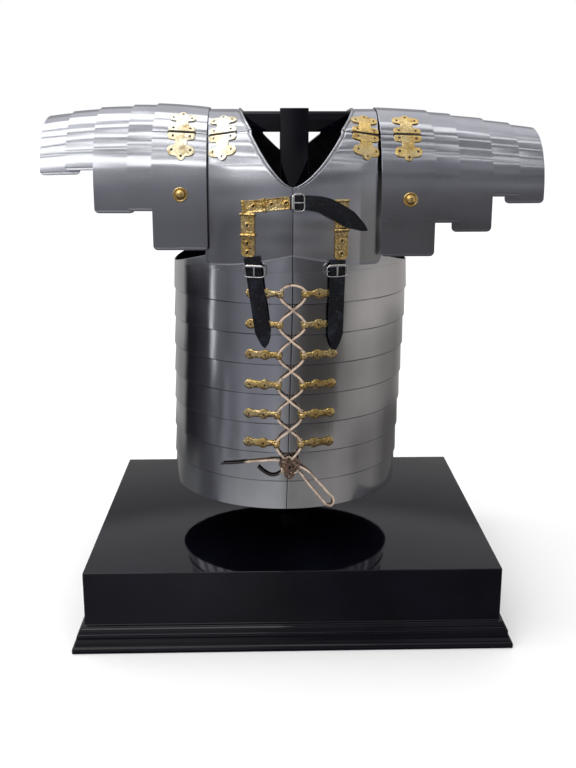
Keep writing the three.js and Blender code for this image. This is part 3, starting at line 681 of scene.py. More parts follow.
def plate_materials(context):
    """The steels of the shoulders and of the waist, and the near-black painted shade of the plates' inner
    sides.
    """
    sizes = context.scene.lorica_plates
    polish = sizes.steel_roughness
    return (
        made_of("shoulder_steel", polished_steel, sizes, (12, 900, 900), (9, 26, 26), 0.0009, polish,
                SPRING + 0.012),
        made_of("waist_steel", polished_steel, sizes, (700, 700, 14), (16, 16, 7), 0.0018, 0.75 * polish),
        made_of("painted_shade_inside", painted_shade_inside, sizes.inside[:]),
    )


def fitting_materials(colour, name="fitting_brass", beaten=1.0):
    """A brass, and the painted shade of its rivets' dark centres."""
    return made_of(name, brass, colour[:], beaten), made_of("rivet_hole", shadowed, HOLE_SHADE)


# The waist

def hoop_level(k):
    return TOP_HOOP - (k - 1) * HOOP_PITCH


def hoop_inset(k, z):
    return (k - 1) * HOOP_TAPER + HOOP_FLARE * (z - hoop_level(k)) / HOOP_HEIGHT


def lean_at(z):
    return WAIST_LEAN * max(0, TOP_HOOP - z) / (TOP_HOOP - RIM)


def waist_point(angle, inset, z):
    return Vector(((WAIST_WIDE - inset) * sin(angle) + lean_at(z), -(WAIST_DEEP - inset) * cos(angle), z))


def girth_hoop(k):
    seam = asin(SEAM_GAP / 2 / WAIST_WIDE)

    def top(angle):
        if k == 1:
            return TOP_HOOP + ARMPIT_HEIGHT + FRONT_RISE * cos(angle) ** 2
        return hoop_level(k) + HOOP_HEIGHT

    def at(u, v, layer):
        angle = mix(seam, 2 * pi - seam, u)
        z = mix(hoop_level(k), top(angle), v)
        return waist_point(angle, hoop_inset(k, z) + layer * SHEET, z)

    rows = [0, 0.012, 0.04] + evenly(0.1, 0.9, 8 if k == 1 else 4) + [0.96, 0.988, 1]
    columns = [0, 0.0008, 0.002] + evenly(0.006, 0.994, 180) + [0.998, 0.9992, 1]
    return bent_wall(f"hoop_{k}", columns, rows, at, inside_shaded=True)


# The shoulders. A place on a profile is an angle over the shoulder from the front; before 0 and after
# pi the profile runs straight down.

def profile(p, half_depth, rise, depth):
    if p < 0:
        return -(half_depth - depth), SPRING + p * STRAIGHT
    if p > pi:
        return half_depth - depth, SPRING + (pi - p) * STRAIGHT
    return -(half_depth - depth) * cos(p), SPRING + (rise - depth) * sin(p)


def angle_at(rise, height):
    return asin(min(1, height / rise))


def level_at(p, rise):
    if p < 0:
        return p * STRAIGHT
    return (pi - p) * STRAIGHT if p > pi else rise * sin(p)


def collar_point(side, x, p, depth):
    """A point of the collar's surface, where x is positive on both sides of the body."""
    half_depth = (COLLAR_DEEP - depth) * sqrt(max(0, 1 - (x / (COLLAR_OVAL - depth)) ** 2))
    y, z = profile(p, half_depth + depth, COLLAR_RISE, depth)
    along = (level_at(p, COLLAR_RISE) + CHEST_BOTTOM) / (NECK_TIP + CHEST_BOTTOM)
    inside = sin(pi * along) ** 2 if 0 < along < 1 else 0
    swell = CHEST_SWELL * inside * max(0, 1 - (x / side["chest"]) ** 2)
    return Vector((side["mirror"] * x, y + (swell if y > 0 else -swell), z))


def neck_edge(side, p):
    tip, power = (NECK_TIP, NECK_CURVE) if p <= pi / 2 else (NAPE_TIP, NAPE_CURVE)
    share = (level_at(p, COLLAR_RISE) - tip) / (COLLAR_RISE - tip)
    return max(SEAM_GAP / 2, side["neck"] * share**power if share > 0 else 0)


def chest_edge(side, x):
    return CHEST_BOTTOM + CHEST_DROP * sin(pi / 2 * min(1, x / side["chest"]))


def corner_cut(height, radius):
    return 0 if height >= radius else radius - sqrt(radius**2 - (radius - height) ** 2)


def collar_hinge_at(side, x):
    return angle_at(COLLAR_RISE, HINGE_LINE - HINGE_SLOPE * (x - side["collar_hinge"]) / (2 * LEAF_HALF))


# The neck's rolled edge: distances in from the edge, as shares of the bead's width
BEAD_STATIONS = [0, 0.14, 0.3, 0.5, 0.7, 0.86, 1, 1.18, 1.36, 1.6, 2]
BEAD_WIDTH = 2.6  # in radii of the bead
BEAD_GROOVE = 1.18


def bead_relief(share, radius):
    """How far the plate stands out at a share of the bead's width from the edge, with a groove past it."""
    bead = sqrt(max(0, 1 - (2 * share - 1) ** 2)) * radius
    return bead - 0.5 * radius * exp(-((share - BEAD_GROOVE) / 0.16) ** 2)


def neck_places(count):
    """Places across a plate: the bead's stations, then shares of what is left."""
    return [("bead", s) for s in BEAD_STATIONS] + [("plate", t) for t in evenly(0, 1, count)[1:]]


def across_plate(place, inner, outer, width):
    kind, share = place
    start = inner + BEAD_STATIONS[-1] * width
    return inner + share * width if kind == "bead" else mix(start, outer, share)


FOOT_LIP = 0.0006  # how far a breastplate's lower edge turns out
FOOT_LIP_HEIGHT = 0.0024
FOOT_ROWS = [0, 0.03, 0.08, 0.14, 0.22, 0.3, 0.4, 0.52, 0.72, 1]  # as shares of the corner's radius


def chest_plate(name, side, back, bead):
    tip = angle_at(COLLAR_RISE, NAPE_TIP if back else NECK_TIP)
    hinge = collar_hinge_at(side, side["collar_hinge"])
    rows = [("foot", PLATE_CORNER * share, 1) for share in FOOT_ROWS]
    rows += [("foot", PLATE_CORNER * (1 - t), 1 - t) for t in evenly(0, 1, 22)[1:]]
    rows += [("arch", t * tip, 0) for t in evenly(0, 1, 8 if back else 3)[1:]]
    rows += [("arch", mix(tip, hinge, t**1.2), 0) for t in evenly(0, 1, 32)[1:-1]]
    rows += [("arch", hinge - EDGE_ROW, 0), ("hinge", hinge, 0)]
    width = BEAD_WIDTH * bead

    def at(u, v, layer):
        kind, value, share = v
        straight = kind == "foot"
        cut = corner_cut(value, PLATE_CORNER) if straight and share == 1 else 0
        widening = 0 if straight else smooth(value / WIDENED_BY)
        outer = side["chest"] + widening * COLLAR_UNDER - cut
        inner = SEAM_GAP / 2 if straight else neck_edge(side, pi - value if back else value)
        x = across_plate(u, inner, outer, width)
        if straight:
            p = (value - share * chest_edge(side, x)) / STRAIGHT
        else:
            p = collar_hinge_at(side, x) - HINGE_GAP if kind == "hinge" else value
        raised = -bending(p, x, 0.8 * side["mirror"])
        if straight:
            raised = FOOT_LIP * smooth(1 - (p * STRAIGHT + chest_edge(side, x)) / FOOT_LIP_HEIGHT)
        elif u[0] == "bead":
            raised += bead_relief(u[1], bead) * smooth((value - tip * 0.6) / radians(5))
        return collar_point(side, x, pi - p if back else p, SHEET if layer else -raised)

    return bent_wall(name, neck_places(34), rows, at, inside_shaded=True)


def collar_plate(name, side, bead):
    first = collar_hinge_at(side, side["collar_hinge"]) + HINGE_GAP
    width = BEAD_WIDTH * bead

    def at(u, v, layer):
        x = across_plate(u, neck_edge(side, mix(first, pi - first, v)), side["chest"] + COLLAR_UNDER, width)
        start = collar_hinge_at(side, x) + HINGE_GAP
        p = mix(start, pi - start, v)
        raised = (bead_relief(u[1], bead) if u[0] == "bead" else 0) - bending(p, x, 0.8 * side["mirror"])
        return collar_point(side, x, p, SHEET if layer else -raised)

    rows = [0, 0.006] + evenly(0.02, 0.98, 52) + [0.994, 1]
    return bent_wall(name, neck_places(16), rows, at, inside_shaded=True)


def guard_surface(side, x, p, depth):
    out = (x - side["shift"] - GUARD_INNER) / GUARD_REACH
    rise = GUARD_RISE + side["climb"] * out - side["fall"] * out**2
    half_depth = GUARD_DEEP - GUARD_NARROWING * max(0, out) ** 3
    y, z = profile(p, half_depth, rise, depth)
    return Vector((side["mirror"] * x, y, z))


def guard_foot(layer, side_name):
    below = GUARDS[layer][side_name] * GUARD_DROP
    return -below / STRAIGHT if below > 0 else angle_at(GUARD_RISE, -below)


def bending(p, x, phase):
    """The shallow flats and creases that the bending of a plate over the shoulder leaves."""
    if not 0 < p < pi:
        return 0
    wander = 0.35 * sin(22 * x + 1.7 * phase)
    ends = smooth(p / radians(22)) * smooth((pi - p) / radians(22))
    return ends * (0.00013 * sin(19 * p + phase + wander) + 0.00009 * sin(41 * p + 2.3 * phase - 2 * wander))


GUARD_HINGE = angle_at(GUARD_RISE, HINGE_LINE)
EDGE_ROW = radians(0.5)
FOOT_STATIONS = [0, 0.08, 0.17, 0.27, 0.38, 0.46, 0.54, 0.62, 0.74, 0.87, 1]
GROOVE_AT = 0.54


def guard_plate(name, side_name, layer, start, end, feet, groove):
    """A guard between two places on its profile. feet says which of its two ends are free feet."""
    side, guard = SIDES[side_name], GUARDS[layer]
    wide = (guard["outer"] - guard["inner"]) * GUARD_REACH

    def step(p):
        return GUARD_CORNER / (STRAIGHT if p < 0 or p > pi else GUARD_DEEP)

    low = [start + s * step(start) for s in FOOT_STATIONS] if feet[0] else [start, start + EDGE_ROW]
    high = [end - s * step(end) for s in reversed(FOOT_STATIONS)] if feet[1] else [end - EDGE_ROW, end]
    count = max(8, round(degrees(high[0] - low[-1]) / 1.8))
    rows = low + evenly(low[-1], high[0], count)[1:-1] + high
    columns = [0, 0.008, 0.02, 0.05] + evenly(0.1, 0.9, 10) + [0.95, 0.98, 0.992, 1]

    def at(u, v, face):
        from_low = (v - start) / step(start) if feet[0] else 1
        from_high = (end - v) / step(end) if feet[1] else 1
        lift = min(1, from_low, from_high)
        cut = corner_cut(lift * GUARD_CORNER, GUARD_CORNER) / wide
        across = mix(guard["inner"], guard["outer"], mix(cut, 1 - cut, u))
        lean = (layer + 1) * GUARD_LEAN * (sin(v) ** 2 if 0 < v < pi else 0)
        x = GUARD_INNER + side["shift"] + across * GUARD_REACH + lean
        sunk = groove * exp(-((lift - GROOVE_AT) / 0.07) ** 2) if lift < 1 else 0
        sunk += bending(v, x, 0.7 * layer + side["mirror"])
        return guard_surface(side, x, v, layer * GUARD_NEST + (SHEET if face else sunk))

    return bent_wall(name, columns, rows, at, inside_shaded=True)


# Brass

A_LITTLE = 0.0005  # a step off a surface that shows which way is out
BRASS_EDGE = 0.0003
RIVET_PROFILE = [
    (0, -0.5), (1, -0.5), (1, 0.2), (0.95, 0.46), (0.88, 0.46), (0.82, 0.1), (0.5, 0.16), (0, 0.2),
]
WASHER_PROFILE = [
    (0, -0.4), (1, -0.4), (1, 0.1), (0.94, 0.5), (0.82, 0.9), (0.68, 1), (0.56, 0.86), (0.46, 0.3),
    (0.4, 0.05), (0.2, 0.1), (0, 0.15),
]


def rivet(centre, out, radius, height=0.0007, section=RIVET_PROFILE, hollow=0.84):
    """A hollow rivet: a brass rim round a centre painted dark as shade."""
    rows = [(share * radius, level * height) for share, level in section]
    head = turned("rivet", centre, out, rows, sides=16)
    for face in head.data.polygons:
        away = face.center - Vector(centre)
        face.material_index = int(away.length < hollow * radius and away.dot(Vector(out)) > 0)
    return head


def outward(surface, x, p, lift):
    """A point standing off a surface, and the direction that points away from it there."""
    near = surface(x, p, -lift)
    return near, (surface(x, p, -lift - A_LITTLE) - near).normalized()


LEAF_LOBES = [(0.0056, 0.0115, 0.0062), (0.0262, 0.0110, 0.0066), (0.0333, 0.0, 0.0052)]
LEAF_WAIST = 0.0078
LEAF_EDGE = 0.00035
PIN_RADIUS = 0.0016
LEAF_RIVETS = [(0.0062, 0.0108), (0.0062, -0.0108), (0.0256, 0.0118), (0.0256, -0.0118), (0.0335, 0.0)]


def leaf_half(along):
    """Half a hinge leaf's width at a distance from the pin: a waist between three pairs of lobes."""
    parts = [LEAF_WAIST if along < LEAF_LOBES[-1][0] else 0]
    for centre, out, radius in LEAF_LOBES:
        reach = radius**2 - (along - centre) ** 2
        if reach > 0:
            parts.append(out + sqrt(reach))
    return max(0.0004, sum(part**9 for part in parts) ** (1 / 9))


def lobed_hinge(surface, middle, hinge_at, back, rivet_radius):
    """Two lobed leaves riveted to the plates, and the pin in the slot between them."""

    def place(x, along):
        p = hinge_at(x) + along / COLLAR_RISE
        return pi - p if back else p

    pieces = []
    rows = [PIN_SLOT] + evenly(0.0026, 0.0376, 34) + [0.0381, LEAF_LENGTH]
    for sign in (-1, 1):

        def at(u, v, layer):
            x = middle + u * leaf_half(v)
            return surface(x, place(x, sign * v), -GAP - BRASS_SHEET * (1 - layer))

        leaf = bent_wall("leaf", evenly(-1, 1, 12), rows, at)
        break_edges(leaf, LEAF_EDGE)
        pieces.append(leaf)
        for along, across in LEAF_RIVETS:
            x = middle + across
            seat = outward(surface, x, place(x, sign * along), GAP + BRASS_SHEET)
            pieces.append(rivet(*seat, rivet_radius))
    ends = [surface(x, place(x, 0), -0.0004) for x in evenly(middle - LEAF_HALF, middle + LEAF_HALF, 6)]
    out = outward(surface, middle, place(middle, 0), 0)[1]
    pin = swept("pin", ends, [PIN_RADIUS] * len(ends), flat=0.6, normal=out)
    # The pin takes the painted shade of the slot round it
    for face in pin.data.polygons:
        face.material_index = 1
    pieces.append(pin)
    return pieces


BOSS_HEIGHT = 0.0045
BOSS_PROFILE = [
    (0, 0), (1, 0), (1.0, 0.14), (0.96, 0.24), (0.88, 0.27), (0.8, 0.22), (0.74, 0.14), (0.7, 0.14),
    (0.66, 0.3), (0.6, 0.52), (0.5, 0.72), (0.36, 0.88), (0.2, 0.97), (0, 1),
]


def boss(side, radius):
    rows = [(share * radius, level * BOSS_HEIGHT) for share, level in BOSS_PROFILE]
    centre = (side["mirror"] * side["boss_x"], -GUARD_DEEP - GAP, SPRING - side["boss_below"])
    return turned("boss", centre, (0, -1, 0), rows, sides=32)


TIE_LOBES = [(0.0528, 0.0066), (0.0335, 0.0068)]  # the place and radius of the lobe round each rivet
TIE_WAIST = 0.0046


def tie_half(x):
    """Half a tie loop's height: a lobe round each rivet, then a taper to the neck."""
    parts = [TIE_WAIST if 0.034 < x < 0.055 else 0.0003]
    if x < 0.036:
        parts.append(mix(TIE_NECK / 2, TIE_WAIST, smooth((x - 0.02) / 0.014)))
    for centre, radius in TIE_LOBES:
        reach = radius**2 - (x - centre) ** 2
        if reach > 0:
            parts.append(sqrt(reach))
    return max(parts)


def tie_loop(k, mirror, rivet_radius):
    level = hoop_level(k) + TIE_ABOVE_EDGE
    inset = hoop_inset(k, level - 0.0065)

    def surface(x, height, depth):
        angle = asin(mirror * x / (WAIST_WIDE - inset))
        return waist_point(angle, inset + depth, level + height)

    def at(u, v, layer):
        crown = 0 if layer else BRASS_SHEET + 0.0011 * (1 - v * v) - 0.0004
        return surface(u, v * tie_half(u), -GAP - crown)

    stations = evenly(EYE_AT, 0.0575, 34) + [0.0584, 0.059, 0.0593]
    strip = bent_wall("strip", stations, evenly(-1, 1, 8), at)
    break_edges(strip, BRASS_EDGE)
    pieces = [strip]
    for x, _ in TIE_LOBES:
        pieces.append(rivet(*outward(surface, x, 0, GAP + BRASS_SHEET + 0.0006), rivet_radius))
    middle = Vector((mirror * EYE_AT + lean_at(level), -(WAIST_DEEP - inset + GAP + EYE_RADIUS), level))
    rim = EYE_RADIUS - EYE_TUBE
    rows = [(rim + EYE_TUBE * cos(a), TIE_NECK / 2 * sin(a)) for a in evenly(0, 2 * pi, 12)]
    pieces.append(turned("eye", middle, (0, 0, 1), rows, sides=18))
    return pieces


# Chest fittings and straps

def chest_surface(x, level, depth):
    p = angle_at(COLLAR_RISE, level) if level > 0 else level / STRAIGHT
    side = SIDES["left" if x >= 0 else "right"]
    return collar_point(side, abs(x), p, depth)


def straight(start, end, steps, half):
    """The rows of a straight path."""
    return [(mix(start[0], end[0], t), mix(start[1], end[1], t), half) for t in evenly(0, 1, steps)]


def path_frame(path, t):
    """A path's point and half width at a share of it, and its direction. Rows are x, level, half."""
    place = t * (len(path) - 1)
    i = min(int(place), len(path) - 2)
    f = place - i
    a, b, c, d = (Vector(path[min(max(k, 0), len(path) - 1)]) for k in range(i - 1, i + 3))
    bend, twist = 2 * a - 5 * b + 4 * c - d, 3 * b - a - 3 * c + d
    point = 0.5 * (2 * b + (c - a) * f + bend * f**2 + twist * f**3)
    slope = c - a + 2 * bend * f + 3 * twist * f**2
    return point, Vector((slope.x, slope.y)).normalized()


def on_chest(path, t, side, lift):
    point, along = path_frame(path, t)
    return chest_surface(point.x - along.y * side, point.y + along.x * side, -lift)


def off_chest(path, t, lift, little=A_LITTLE):
    """A point in the middle of a path, and the direction that points away from the chest there."""
    near = on_chest(path, t, 0, lift)
    return near, (on_chest(path, t, 0, lift + little) - near).normalized()


STRAP_POINT = 0.021  # how long a strap's pointed end is
STRAP_TIP = 0.0008
STRAP_EDGE = 0.0005
STRAP_CREASE = 0.78  # where the pressed line along each edge is, as a share of half the width


def strap_half(t, half, length):
    """Half a strap's width, drawn in to a point at its end."""
    left = (1 - t) * length
    return half if left > STRAP_POINT else max(STRAP_TIP, half * (left / STRAP_POINT) ** 0.72)


def leather_strap(name, path):
    half = max(row[2] for row in path)
    length = sum((Vector(a[:2]) - Vector(b[:2])).length for a, b in zip(path, path[1:]))
    across = [-1, -0.95, -0.84, -0.78, -0.72, -0.62, -0.3, 0, 0.3, 0.62, 0.72, 0.78, 0.84, 0.95, 1]

    def at(u, v, layer):
        width = min(max(path_frame(path, v)[0].z, STRAP_TIP), strap_half(v, half, length))
        crease = 0.00035 * exp(-((abs(u) - STRAP_CREASE) / 0.05) ** 2)
        top = STRAP_LIFT + STRAP_SHEET - 0.0004 * u * u - crease
        return on_chest(path, v, u * width, STRAP_LIFT if layer else top)

    strap = bent_wall(name, across, evenly(0, 1, 60), at)
    break_edges(strap, STRAP_EDGE)
    return strap


HOLE_PROFILE = [
    (0, -0.0004), (0.0017, -0.0004), (0.0017, 0.0001), (0.0014, 0.0002), (0.0012, 0.0), (0, -0.0001),
]


def punched_hole(path, t):
    """A round hole in a strap, painted dark as shade, with a slightly raised lip."""
    return turned("hole", *off_chest(path, t, STRAP_LIFT + STRAP_SHEET), HOLE_PROFILE, sides=14)


def fitting_plate(path, start, end, half, round_end):
    """A pressed brass plate on the chest with a raised border, its far end rounded where asked."""
    across = [-1, -0.9, -0.8, -0.7, -0.6, 0, 0.6, 0.7, 0.8, 0.9, 1]
    along = [0, 0.06, 0.12, 0.18, 0.24] + evenly(0.3, 0.7, 4) + [0.76, 0.82, 0.88, 0.94, 0.98, 1]

    def at(u, v, layer):
        width = half
        if round_end and v > 0.76:
            width = half * max(0.3, sqrt(max(0, 1 - ((v - 0.76) / 0.26) ** 2)))
        border = min(1 - abs(u), 1.6 * min(v, 1 - v))
        pressed = 0.0006 * smooth((border - 0.06) / 0.16)
        lift = FITTING_LIFT + (0 if layer else BRASS_SHEET + 0.0004 - pressed)
        return on_chest(path, mix(start, end, v), u * width, lift)

    plate = bent_wall("plate", across, along, at)
    break_edges(plate, BRASS_EDGE)
    return plate


def knuckle(path, t, half, radius):
    """A rolled knuckle across a fitting, with the slits between its turns."""
    points = [on_chest(path, t, s, FITTING_LIFT + radius * 0.85) for s in evenly(-half, half, 18)]
    radii = [radius * (0.72 if i in (5, 13) else 1) for i in range(len(points))]
    radii[0] = radii[-1] = radius * 0.8
    return swept("knuckle", points, radii, sides=12, normal=off_chest(path, t, 0, 0.01)[1])


def hinged_fitting(path, half, rolls, plates):
    pieces = [knuckle(path, t, half * 1.12, radius) for t, radius in rolls]
    for start, end, round_end, rivet_at in plates:
        pieces.append(fitting_plate(path, start, end, half, round_end))
        for t in rivet_at:
            centre, out = off_chest(path, t, FITTING_LIFT + BRASS_SHEET - 0.0002, 0.001)
            pieces.append(rivet(centre, out, 0.48 * half, 0.0019, WASHER_PROFILE, 0.44))
    return pieces


BUCKLE_SQUARE = 0.42  # under 1, the frame's corners are squarer than an oval's
TONGUE_RADII = [0.0014, 0.0014, 0.0013, 0.0012, 0.0012, 0.0011, 0.001, 0.0009, 0.0007]


def buckle(x, level, width, height, upright):
    """An oval frame with a heavy bar where the strap comes in, and its tongue."""
    lift = STRAP_LIFT + STRAP_SHEET + SEAT_GAP + 0.0013
    points, radii = [], []
    for angle in evenly(0, 2 * pi, 56)[:-1]:
        c, s = cos(angle), sin(angle)
        right, up = (copysign(abs(part) ** BUCKLE_SQUARE, part) * 0.47 for part in (c, s))
        points.append(chest_surface(x + width * right, level + height * up, -lift))
        radii.append(0.0009 + 0.0012 * smooth(((s if upright else -c) - 0.62) / 0.3))
    reach = (0, -0.46 * height) if upright else (0.46 * width, 0)
    line = [chest_surface(x + s * reach[0], level + s * reach[1], -lift - 0.0006) for s in evenly(-1, 1, 8)]
    return [swept("buckle", points, radii, sides=12, closed=True), swept("tongue", line, TONGUE_RADII)]


# The lace

def lace_point(x, z, lift):
    inset = HOOP_TAPER * max(0, TOP_HOOP - z) / HOOP_PITCH - lift
    return Vector((x + lean_at(z), -(WAIST_DEEP - inset) * sqrt(1 - (x / (WAIST_WIDE - inset)) ** 2), z))


def lace_route():
    """From the knot the lace zigzags up through the eyes, across above the top pair, and down again."""
    eye_lift = GAP + EYE_RADIUS

    def strand(first_side, crossing_lift):
        points = []
        for k in range(1, TIES + 1):
            x = (1 if k % 2 else -1) * first_side * EYE_AT
            level = hoop_level(k) + TIE_ABOVE_EDGE
            points.append(lace_point(x, level + TIE_NECK / 2, eye_lift))
            points.append(lace_point(x, level - TIE_NECK / 2, eye_lift))
            if k < TIES:
                points.append(lace_point(0, level - HOOP_PITCH / 2, crossing_lift))
        return points

    top = hoop_level(1) + TIE_ABOVE_EDGE + TIE_NECK / 2 + LACE_RISE
    under, over = strand(-1, eye_lift - LACE_APART), strand(1, eye_lift + LACE_APART)
    ends = [lace_point(sign * KNOT_SIZE[0] * 0.6, KNOT_LEVEL + KNOT_SIZE[2] + 2 * GAP, KNOT_LIFT)
            for sign in (-1, 1)]
    under_end, over_end = ends if under[-1].x < over[-1].x else reversed(ends)
    across = [lace_point(x, top, eye_lift) for x in (-EYE_AT / 2, EYE_AT / 2)]
    return [under_end, *reversed(under), *across, *over, over_end]


def on_waist(rows):
    return [lace_point(*row) for row in rows]


def cord_curve(name, points, diameter):
    """A round cord through its points, as one open spline."""
    curve = bpy.data.curves.new(name, "CURVE")
    curve.dimensions = "3D"
    curve.bevel_depth = diameter / 2
    curve.bevel_resolution = 3
    curve.use_fill_caps = True
    curve.resolution_u = 8
    spline = curve.splines.new("BEZIER")
    spline.bezier_points.add(len(points) - 1)
    for knot, point in zip(spline.bezier_points, points):
        knot.co = point
        knot.handle_left_type = knot.handle_right_type = "AUTO"
    cord = bpy.data.objects.new(name, curve)
    bpy.context.scene.collection.objects.link(cord)
    return cord


# The banks of lights over the shoulders: from and to in degrees above the front, as seen from the
# shoulders, and how bright. The wide panels hang over the wearer's right, the narrow ones over the left.
PANELS = [
    (32, 45, 1.7), (51, 54.5, 1.7), (59.5, 66.5, 1.7), (73.5, 82, 1.7), (90, 102.5, 1.6), (109.5, 124, 1.5),
]
TUBES = [(46, 49, 1.1), (55.5, 58, 1.1), (68, 71, 1.1), (84, 88, 1.1), (104, 110, 1.0)]
LIGHTS_ABOVE = 1.4
BANK_LENGTH = 2.4
LONG_TUBE = ((-1.22, 0.005), (2.36, 0.04), 14)
FLOOR_FADES = (0.5, 2.5)
FLOOR_GLOW = (0.2, 0.2, 0.2)

# The studio round the object, in rings from the floor up: between which heights of the reflected
# direction a ring takes over from the one below, then its rows of azimuth (0 to the front, + to the
# wearer's left), and brightness and warmth in hundredths
BELOW_THE_RINGS = (0.06, 0.06, 0.10)
RINGS = [
    (-0.50, -0.475, [  # seen in the two lowest hoops
        (-180, 40, 3), (-150, 25, 3), (-120, 12, 0), (-106, 12, 0), (-92, 13, -2), (-84, 8, -5),
        (-72, 8, -6), (-66, 15, -5), (-60, 25, -4), (-50, 34, -2), (-40, 38, -1), (-19, 44, -1),
        (-8, 47, -1), (-3, 36, 0), (1, 26, 3), (10, 27, 4), (32, 27, 5), (44, 30, 5), (57, 25, 5),
        (65, 18, 5), (89, 20, 5), (110, 11, 5), (150, 12, 5), (180, 40, 3)]),
    (-0.338, -0.318, [  # seen in hoops 4 to 6
        (-180, 42, 3), (-145, 43, 3), (-122, 32, 3), (-113, 2, -8), (-100, 2, -8), (-82, 4.5, -8),
        (-72, 9, -7), (-66, 14, -7), (-61, 9, -7), (-56, 24, -6), (-49, 16, -6), (-43, 18, -6),
        (-37, 28, -6), (-30, 22, -6), (-20, 26, -6), (-11, 32, -5), (-4, 27, -3), (3, 13, 3), (9, 6.5, 7),
        (20, 7, 8), (30, 8, 8), (38, 12, 8), (42, 22, 6), (52, 27, 6), (62, 32, 6), (78, 34, 6),
        (98, 25, 6), (125, 20, 5), (180, 42, 3)]),
    (-0.24, -0.21, [  # seen in hoops 1 to 3
        (-180, 46, 3), (-138, 50, 3), (-120, 42, 3), (-112, 1.6, -8), (-98, 1.6, -8), (-86, 3.5, -8),
        (-76, 5, -8), (-72.5, 9, -8), (-71, 95, -2), (-68.5, 95, -2), (-67, 17, -6), (-55, 12.5, -6),
        (-44, 19, -6), (-33, 23, -7), (-22, 26, -7), (-12, 27, -6), (-4, 20, -5), (3, 18, -2), (9, 11, 6),
        (16, 7, 8), (32, 5, 10), (42, 12, 8), (47, 30, 7), (54, 38, 7), (62, 45, 7), (75, 48, 7),
        (94, 44, 7), (115, 40, 7), (180, 46, 3)]),
    (-0.125, -0.105, [  # seen in the flat fronts of the shoulder guards
        (-180, 30, 0), (-110, 30, -3), (-76, 20, -5), (-55, 17, -6), (-30, 18, -6), (-15, 24, -6),
        (-8, 30, -6), (-2, 24, -6), (4, 14, -6), (8, 10, -7), (20, 9, -7), (27, 9, -5), (40, 15, -3),
        (71, 28, 0), (110, 30, 2), (180, 30, 0)]),
    (0.0, 0.03, [  # seen in the breastplates
        (-180, 30, 0), (-140, 35, 0), (-100, 40, -2), (-70, 34, -4), (-57, 28, -5), (-46, 22, -6),
        (-35, 23, -6), (-25, 28, -6), (-16, 32, -6), (-6, 26, -6), (3, 22, -5), (12, 19, -6),
        (21, 31, -7), (31, 42, -6), (42, 33, -5), (51, 28, -5), (65, 42, -3), (79, 35, -3), (110, 36, 0),
        (180, 30, 0)]),
    (0.16, 0.20, [  # seen where the guards start to bend back, and in the far half of the base
        (-180, 34, -3), (-150, 34, -3), (-110, 40, -3), (-70, 50, -3), (-30, 50, -3), (-12, 42, -3),
        (-5, 30, -4), (5, 12, -6), (10, 9, -6), (32, 9, -6), (45, 16, -6), (70, 30, -5), (120, 33, -3),
        (150, 34, -3), (180, 34, -3)]),
    (0.40, 0.52, [  # the ceiling
        (-180, 70, -3), (-150, 70, -3), (-115, 45, -3), (-60, 42, -3), (0, 34, -4), (12, 22, -6),
        (60, 22, -6), (115, 30, -4), (150, 70, -3), (180, 70, -3)]),
]


# Operators

def tinted(bright, warmth):
    """A grey with more red where it is warm, and more blue where it is cold."""
    cold = 2 * max(0, -warmth)
    return bright * (1 + max(0, warmth)), bright, bright * (1 - max(0, warmth) + cold)


class LORICA_OT_stage(bpy.types.Operator):
    """Set the camera, the pale floor, the lights and the world"""

    bl_idname = "lorica.stage"
    bl_label = "Stage"

    def execute(self, context):
        sizes = context.scene.lorica_stage
        deselect()
        bpy.ops.object.camera_add(location=sizes.eye, rotation=(pi / 2 - sizes.pitch, 0, -sizes.yaw))
        camera = context.scene.camera = context.object
        camera.name = "camera"
        camera.data.lens = sizes.lens
        camera.data.sensor_width = 36
        camera.data.shift_y = sizes.shift
        context.scene.view_settings.view_transform = "Standard"

        deselect()
        bpy.ops.mesh.primitive_plane_add(size=40)
        floor = coloured(context.object, made_of("pale_floor", pale_floor, sizes.floor[:]))
        floor.name = "floor"
        floor.visible_glossy = False
        self.lights(sizes.strips)
        self.world(context)
        return {"FINISHED"}

    def lights(self, strength):
        for mirror, bank in ((-1, PANELS), (1, TUBES)):
            for low, high, bright in bank:
                near, far = (-LIGHTS_ABOVE / tan(radians(angle)) for angle in (low, high))
                self.panel((mirror * (BANK_LENGTH / 2 + 0.02), (near + far) / 2 - 0.08),
                           (BANK_LENGTH, far - near), bright * strength)
        middle, size, bright = LONG_TUBE
        self.panel(middle, size, bright * strength)

    @staticmethod
    def panel(middle, size, radiance):
        """A light panel over the shoulders that faces down."""
        bpy.ops.object.light_add(type="AREA", location=(*middle, SPRING + COLLAR_RISE / 2 + LIGHTS_ABOVE))
        light = bpy.context.object
        light.data.shape = "RECTANGLE"
        light.data.size, light.data.size_y = size
        light.data.energy = radiance * pi * size[0] * size[1]
        light.visible_camera = False

    @staticmethod
    def world(context):
        """White to the camera and to dull surfaces, and a grey studio where polished plates mirror it."""
        context.scene.world = bpy.data.worlds.new("studio")
        shader = Shader(context.scene.world)
        x, y, z = shader.split(shader.node("ShaderNodeTexCoord", output="Generated"))
        turn = x.worked("ARCTAN2", x, 0 - y) / (2 * pi) + 0.5
        colour = BELOW_THE_RINGS
        for low, high, rows in RINGS:
            stops = [((azimuth + 180) / 360, tinted(bright / 100, warmth / 100))
                     for azimuth, bright, warmth in rows]
            ring = shader.node("ShaderNodeValToRGB", {"stops": stops}, {"Fac": turn})
            colour = shader.blended(shader.ranged(z, low, high), colour, ring)
        seen = shader.node("ShaderNodeLightPath", output="Is Camera Ray")
        dull = seen.worked("MAXIMUM", seen, shader.node("ShaderNodeLightPath", output="Is Diffuse Ray"))
        studio, white = (shader.node("ShaderNodeBackground", sockets={"Color": hue, "Strength": 1.0})
                         for hue in (colour, (1, 1, 1)))
        both = shader.node("ShaderNodeMixShader", sockets={0: dull, 1: studio, 2: white})
        shader.node("ShaderNodeOutputWorld", sockets={"Surface": both})


